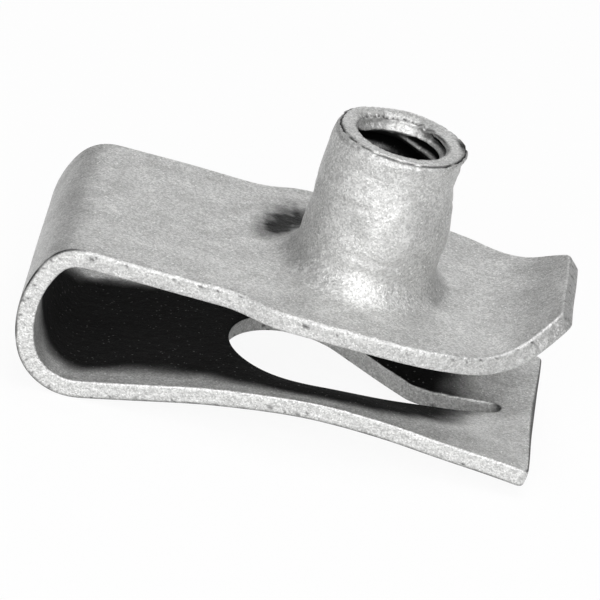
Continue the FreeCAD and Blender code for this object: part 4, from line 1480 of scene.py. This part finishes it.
@dataclass
class Recesses:
    """How deep each place of the nut lies in its own hollows."""

    rays: int = 28
    reach: float = 30.0
    lift: float = 0.05
    passes: int = 4
    seed: int = 7

    def measure(self, work: bmesh.types.BMesh) -> np.ndarray:
        """Return how much of the sky each point misses.

        Args:
            work: The closed mesh, in millimetres.

        Returns:
            One share a point, from 0 in the open to 1 where nothing is seen.
        """
        tree = BVHTree.FromBMesh(work)
        maker = np.random.default_rng(self.seed)
        turn = np.arange(self.rays) * (math.pi * (3 - math.sqrt(5)))
        rise = (np.arange(self.rays) + 0.5) / self.rays
        away = np.sqrt(1 - rise)
        up = np.sqrt(rise)
        blocked = np.zeros(len(work.verts))
        for number, vertex in enumerate(work.verts):
            normal = vertex.normal
            first = normal.orthogonal().normalized()
            second = normal.cross(first)
            start = vertex.co + normal * self.lift
            offset = maker.uniform(0, 2 * math.pi)
            hits = 0
            for angle, out, along in zip(turn + offset, away, up):
                ray = first * (math.cos(angle) * out) + second * (math.sin(angle) * out) + normal * along
                hits += tree.ray_cast(start, ray, self.reach)[0] is not None
            blocked[number] = hits / self.rays
        return self._smoothed(work, blocked)

    def _smoothed(self, work: bmesh.types.BMesh, values: np.ndarray) -> np.ndarray:
        """Take the noise of the few rays out of the shares, by each point's neighbours.

        Args:
            work: The mesh, which says which points are neighbours.
            values: One share a point.

        Returns:
            The smoothed shares.
        """
        work.verts.index_update()
        ends = np.array([(edge.verts[0].index, edge.verts[1].index) for edge in work.edges])
        count = np.bincount(ends.ravel(), minlength=len(values)) + 1
        for _ in range(self.passes):
            total = values.copy()
            np.add.at(total, ends[:, 0], values[ends[:, 1]])
            np.add.at(total, ends[:, 1], values[ends[:, 0]])
            values = total / count
        return values


@dataclass
class Nut:
    """The whole nut, set down as the solid lies."""

    tilt: float = 3.2087
    base: tuple[float, float, float] = (4.59024, 0.0, 12.183463)
    warp: float = 0.03
    warp_wave: float = 9.0
    warp_seeds: tuple[int, ...] = (31, 37, 41)
    weld: float = 0.0008
    skin: SheetSkin = field(default_factory=SheetSkin)
    barrel: Barrel = field(default_factory=Barrel)
    coat: ZincCoatedSteel = field(default_factory=ZincCoatedSteel)

    def set_down(self, points: np.ndarray) -> np.ndarray:
        """Turn points of the nut's own frame into the shared one.

        Args:
            points: Rows of x, y and z.

        Returns:
            The rows in the shared frame, in millimetres.
        """
        angle = math.radians(self.tilt)
        x = points[:, 0] * math.cos(angle) + points[:, 2] * math.sin(angle)
        z = points[:, 2] * math.cos(angle) - points[:, 0] * math.sin(angle)
        return np.c_[x, points[:, 1], z] + self.base

    def _warped(self, points: np.ndarray) -> np.ndarray:
        """Move points by the slight unevenness of a pressed part."""
        moves = [Ripple(seed, self.warp_wave).value(points) for seed in self.warp_seeds]
        return points + self.warp * np.c_[tuple(moves)]

    def build(self) -> bpy.types.Object:
        """Build the nut as one closed mesh with its finish.

        Returns:
            The nut's object.
        """
        material = self.coat.material()
        parts = MeshParts()
        flare = self.skin.circle(self.barrel.flare_end(), self.barrel.columns)
        entry = self.skin.circle(self.barrel.entry_end(), self.barrel.columns)
        self.skin.build(parts, flare, entry)
        log.info("sheet: %d points", parts.count)
        self.barrel.build(parts, material)
        log.info("with barrel: %d points", parts.count)
        upright = np.vstack(parts.points)
        grime_and_painted_shade = np.concatenate(parts.grime_and_painted_shade)
        # The corner's painted shade joins the other dark marks, except where the hollows' painted shade is
        # lifted.
        parts.grime_and_painted_shade = [np.where(grime_and_painted_shade < 0, grime_and_painted_shade, np.maximum(grime_and_painted_shade, self.barrel.corner_painted_shade(upright)))]
        points = self.set_down(self._warped(upright))
        low, high = (np.array(corner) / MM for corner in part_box(NODE))
        points = np.clip(points, low, high)
        return self._object(points, parts, material)

    def _object(self, points: np.ndarray, parts: MeshParts, material: bpy.types.Material) -> bpy.types.Object:
        """Weld the parts and point the faces outwards.

        Args:
            points: The points in the shared frame, in millimetres.
            parts: The faces between them, and what each point is marked with.
            material: The nut's finish.

        Returns:
            The nut's object.
        """
        mesh = bpy.data.meshes.new("u_clip_nut_skin")
        mesh.from_pydata(points.tolist(), [], parts.faces)
        for name, values in (("cut_edge", parts.cut), ("grime_and_painted_shade", parts.grime_and_painted_shade)):
            marks = mesh.attributes.new(name, "FLOAT", "POINT")
            marks.data.foreach_set("value", np.concatenate(values))
        work = bmesh.new()
        work.from_mesh(mesh)
        bmesh.ops.remove_doubles(work, verts=work.verts, dist=self.weld)
        bmesh.ops.recalc_face_normals(work, faces=work.faces)
        work.normal_update()
        # The recess share drives the material's painted shade in the hollows.
        recess = Recesses().measure(work)
        for vertex in work.verts:
            vertex.co *= MM
        for part in work.faces:
            part.smooth = True
        open_edges = sum(1 for edge in work.edges if len(edge.link_faces) != 2)
        volume = work.calc_volume(signed=True) / MM ** 3
        triangles = sum(len(part.verts) - 2 for part in work.faces)
        log.info("nut: %d triangles, %d open edges, %.1f cubic millimetres", triangles, open_edges, volume)
        work.to_mesh(mesh)
        work.free()
        depths = mesh.attributes.new("recess", "FLOAT", "POINT")
        depths.data.foreach_set("value", recess)
        mesh.materials.append(material)
        nut = bpy.data.objects.new("u_clip_nut_skin", mesh)
        bpy.context.scene.collection.objects.link(nut)
        return nut


@dataclass(frozen=True)
class Lamp:
    """A soft square lamp that faces the nut: where it stands in degrees, and its power in watts."""

    name: str
    azimuth: float
    elevation: float
    power: float


@dataclass
class Studio:
    """A pale floor under soft lamps, on white."""

    floor_size: float = 8.0
    floor_colour: str = "f4f4f4"
    glow: float = 0.92
    gloss: float = 0.18
    fill: float = 0.18
    floor_gloss: float = 0.1
    lamp_distance: float = 0.7
    lamp_size: float = 0.4
    lamps: tuple[Lamp, ...] = (
        Lamp("overhead", 0.0, 85.0, 2.05), Lamp("front_low", 270.0, 12.0, 1.9),
        Lamp("front_high", 270.0, 40.0, 1.5), Lamp("right_high", 315.0, 40.0, 0.6),
        Lamp("left_front", 225.0, 12.0, 0.85), Lamp("back_low", 90.0, 12.0, 0.75))

    def build(self) -> None:
        """Make the floor, the world and the lamps."""
        self._floor()
        self._world()
        for lamp in self.lamps:
            self._light(lamp)

    def _light(self, wanted: Lamp) -> None:
        """Add one lamp to the scene.

        Args:
            wanted: The lamp's name, direction and power.
        """
        data = bpy.data.lights.new(wanted.name, "AREA")
        data.shape = "SQUARE"
        data.size = self.lamp_size
        data.energy = wanted.power
        lamp = bpy.data.objects.new(wanted.name, data)
        azimuth, elevation = math.radians(wanted.azimuth), math.radians(wanted.elevation)
        out = Vector((math.cos(azimuth) * math.cos(elevation), math.sin(azimuth) * math.cos(elevation),
                      math.sin(elevation)))
        lamp.location = out * self.lamp_distance
        lamp.rotation_euler = (-out).to_track_quat("-Z", "Y").to_euler()
        bpy.context.scene.collection.objects.link(lamp)

    def _floor(self) -> None:
        """Add the floor, which shows white but keeps the nut's shadow."""
        half = self.floor_size / 2
        mesh = bpy.data.meshes.new("floor")
        corners = [(-half, -half, 0), (half, -half, 0), (half, half, 0), (-half, half, 0)]
        mesh.from_pydata(corners, [], [(0, 1, 2, 3)])
        floor = bpy.data.objects.new("floor", mesh)
        bpy.context.scene.collection.objects.link(floor)
        # White studio paper gives the eye an even white ground that still takes the nut's soft shadow.
        made = bpy.data.materials.new("white_studio_paper")
        made.use_nodes = True
        tree = made.node_tree
        tree.nodes.clear()
        paper = add_node(tree, "ShaderNodeBsdfDiffuse", inputs={"Color": srgb(self.floor_colour)})
        glow = add_node(tree, "ShaderNodeEmission", inputs={"Color": (1, 1, 1, 1), "Strength": 1.0})
        rays = add_node(tree, "ShaderNodeLightPath")
        seen = add_node(tree, "ShaderNodeMath", {"operation": "MULTIPLY"}, {
            0: rays.outputs["Is Camera Ray"], 1: self.glow})
        mirrored = add_node(tree, "ShaderNodeMath", {"operation": "MULTIPLY_ADD"}, {
            0: rays.outputs["Is Glossy Ray"], 1: self.floor_gloss, 2: seen.outputs[0]})
        mixed = add_node(tree, "ShaderNodeMixShader", inputs={
            0: mirrored.outputs[0], 1: paper.outputs[0], 2: glow.outputs[0]})
        add_node(tree, "ShaderNodeOutputMaterial", inputs={"Surface": mixed.outputs[0]})
        mesh.materials.append(made)

    def _world(self) -> None:
        """Add the white surroundings."""
        world = bpy.data.worlds.new("studio")
        bpy.context.scene.world = world
        world.use_nodes = True
        tree = world.node_tree
        tree.nodes.clear()
        rays = add_node(tree, "ShaderNodeLightPath")
        seen = add_node(tree, "ShaderNodeMath", {"operation": "MAXIMUM"}, {
            0: rays.outputs["Is Camera Ray"], 1: rays.outputs["Is Transmission Ray"]})
        glossy = add_node(tree, "ShaderNodeMath", {"operation": "MULTIPLY"}, {
            0: rays.outputs["Is Glossy Ray"], 1: self.gloss})
        most = add_node(tree, "ShaderNodeMath", {"operation": "MAXIMUM"}, {
            0: seen.outputs[0], 1: glossy.outputs[0]})
        strength = add_node(tree, "ShaderNodeMath", {"operation": "MAXIMUM"}, {
            0: most.outputs[0], 1: self.fill})
        back = add_node(tree, "ShaderNodeBackground", inputs={
            "Color": (1, 1, 1, 1), "Strength": strength.outputs[0]})
        add_node(tree, "ShaderNodeOutputWorld", inputs={"Surface": back.outputs[0]})


@dataclass
class PhotoCamera:
    """The camera at the photograph's viewing angle.

    Its angles, its lens and the place of the barrel's rim in its view are fitted to the outlines
    that the photograph shows.
    """

    azimuth: float = 2.533
    elevation: float = 24.5095
    roll: float = 17.7462
    nut_lean: float = 1.3
    rim_height: float = 12.67
    lens: float = 372.08
    sensor: float = 36.0
    rim_in_view: tuple[float, float, float] = (8.7217, -13.6427, 517.0369)

    def build(self, nut: Nut) -> None:
        """Make the camera and set it as the scene's own.

        Args:
            nut: The nut, which says how it is set down.
        """
        azimuth, elevation, roll = np.radians((self.azimuth, self.elevation, self.roll))
        ahead = np.array([math.sin(azimuth) * math.cos(elevation), math.cos(azimuth) * math.cos(elevation),
                          -math.sin(elevation)])
        level = np.array([math.cos(azimuth), -math.sin(azimuth), 0.0])
        down = np.cross(ahead, level)
        right = math.cos(roll) * level - math.sin(roll) * down
        below = math.sin(roll) * level + math.cos(roll) * down
        across, drop, away = self.rim_in_view
        place = np.array([0, 0, self.rim_height]) - (across * right + drop * below + away * ahead)
        axes = np.array([right, -below, -ahead, place])
        angle = math.radians(self.nut_lean)
        turned = np.c_[axes[:, 0] * math.cos(angle) + axes[:, 2] * math.sin(angle), axes[:, 1],
                       axes[:, 2] * math.cos(angle) - axes[:, 0] * math.sin(angle)]
        set_down = nut.set_down(turned)
        set_down[:3] -= nut.base
        data = bpy.data.cameras.new("photo_camera")
        data.lens = self.lens
        data.sensor_width = self.sensor
        data.sensor_fit = "HORIZONTAL"
        data.clip_start = 0.01
        camera = bpy.data.objects.new("photo_camera", data)
        matrix = Matrix.Identity(4)
        for column in range(3):
            for row in range(3):
                matrix[row][column] = set_down[column][row]
        for row in range(3):
            matrix[row][3] = set_down[3][row] * MM
        camera.matrix_world = matrix
        bpy.context.scene.collection.objects.link(camera)
        bpy.context.scene.camera = camera


def main() -> None:
    """Build the nut, its stage and the camera."""
    logging.basicConfig(level=logging.INFO, format="%(name)s: %(message)s")
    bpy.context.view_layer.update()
    bpy.context.scene.view_settings.view_transform = "Standard"
    nut = Nut()
    skin = nut.build()
    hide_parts(NODE)
    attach(skin, BODY)
    Studio().build()
    PhotoCamera().build(nut)


if __name__ == "__main__":
    main()
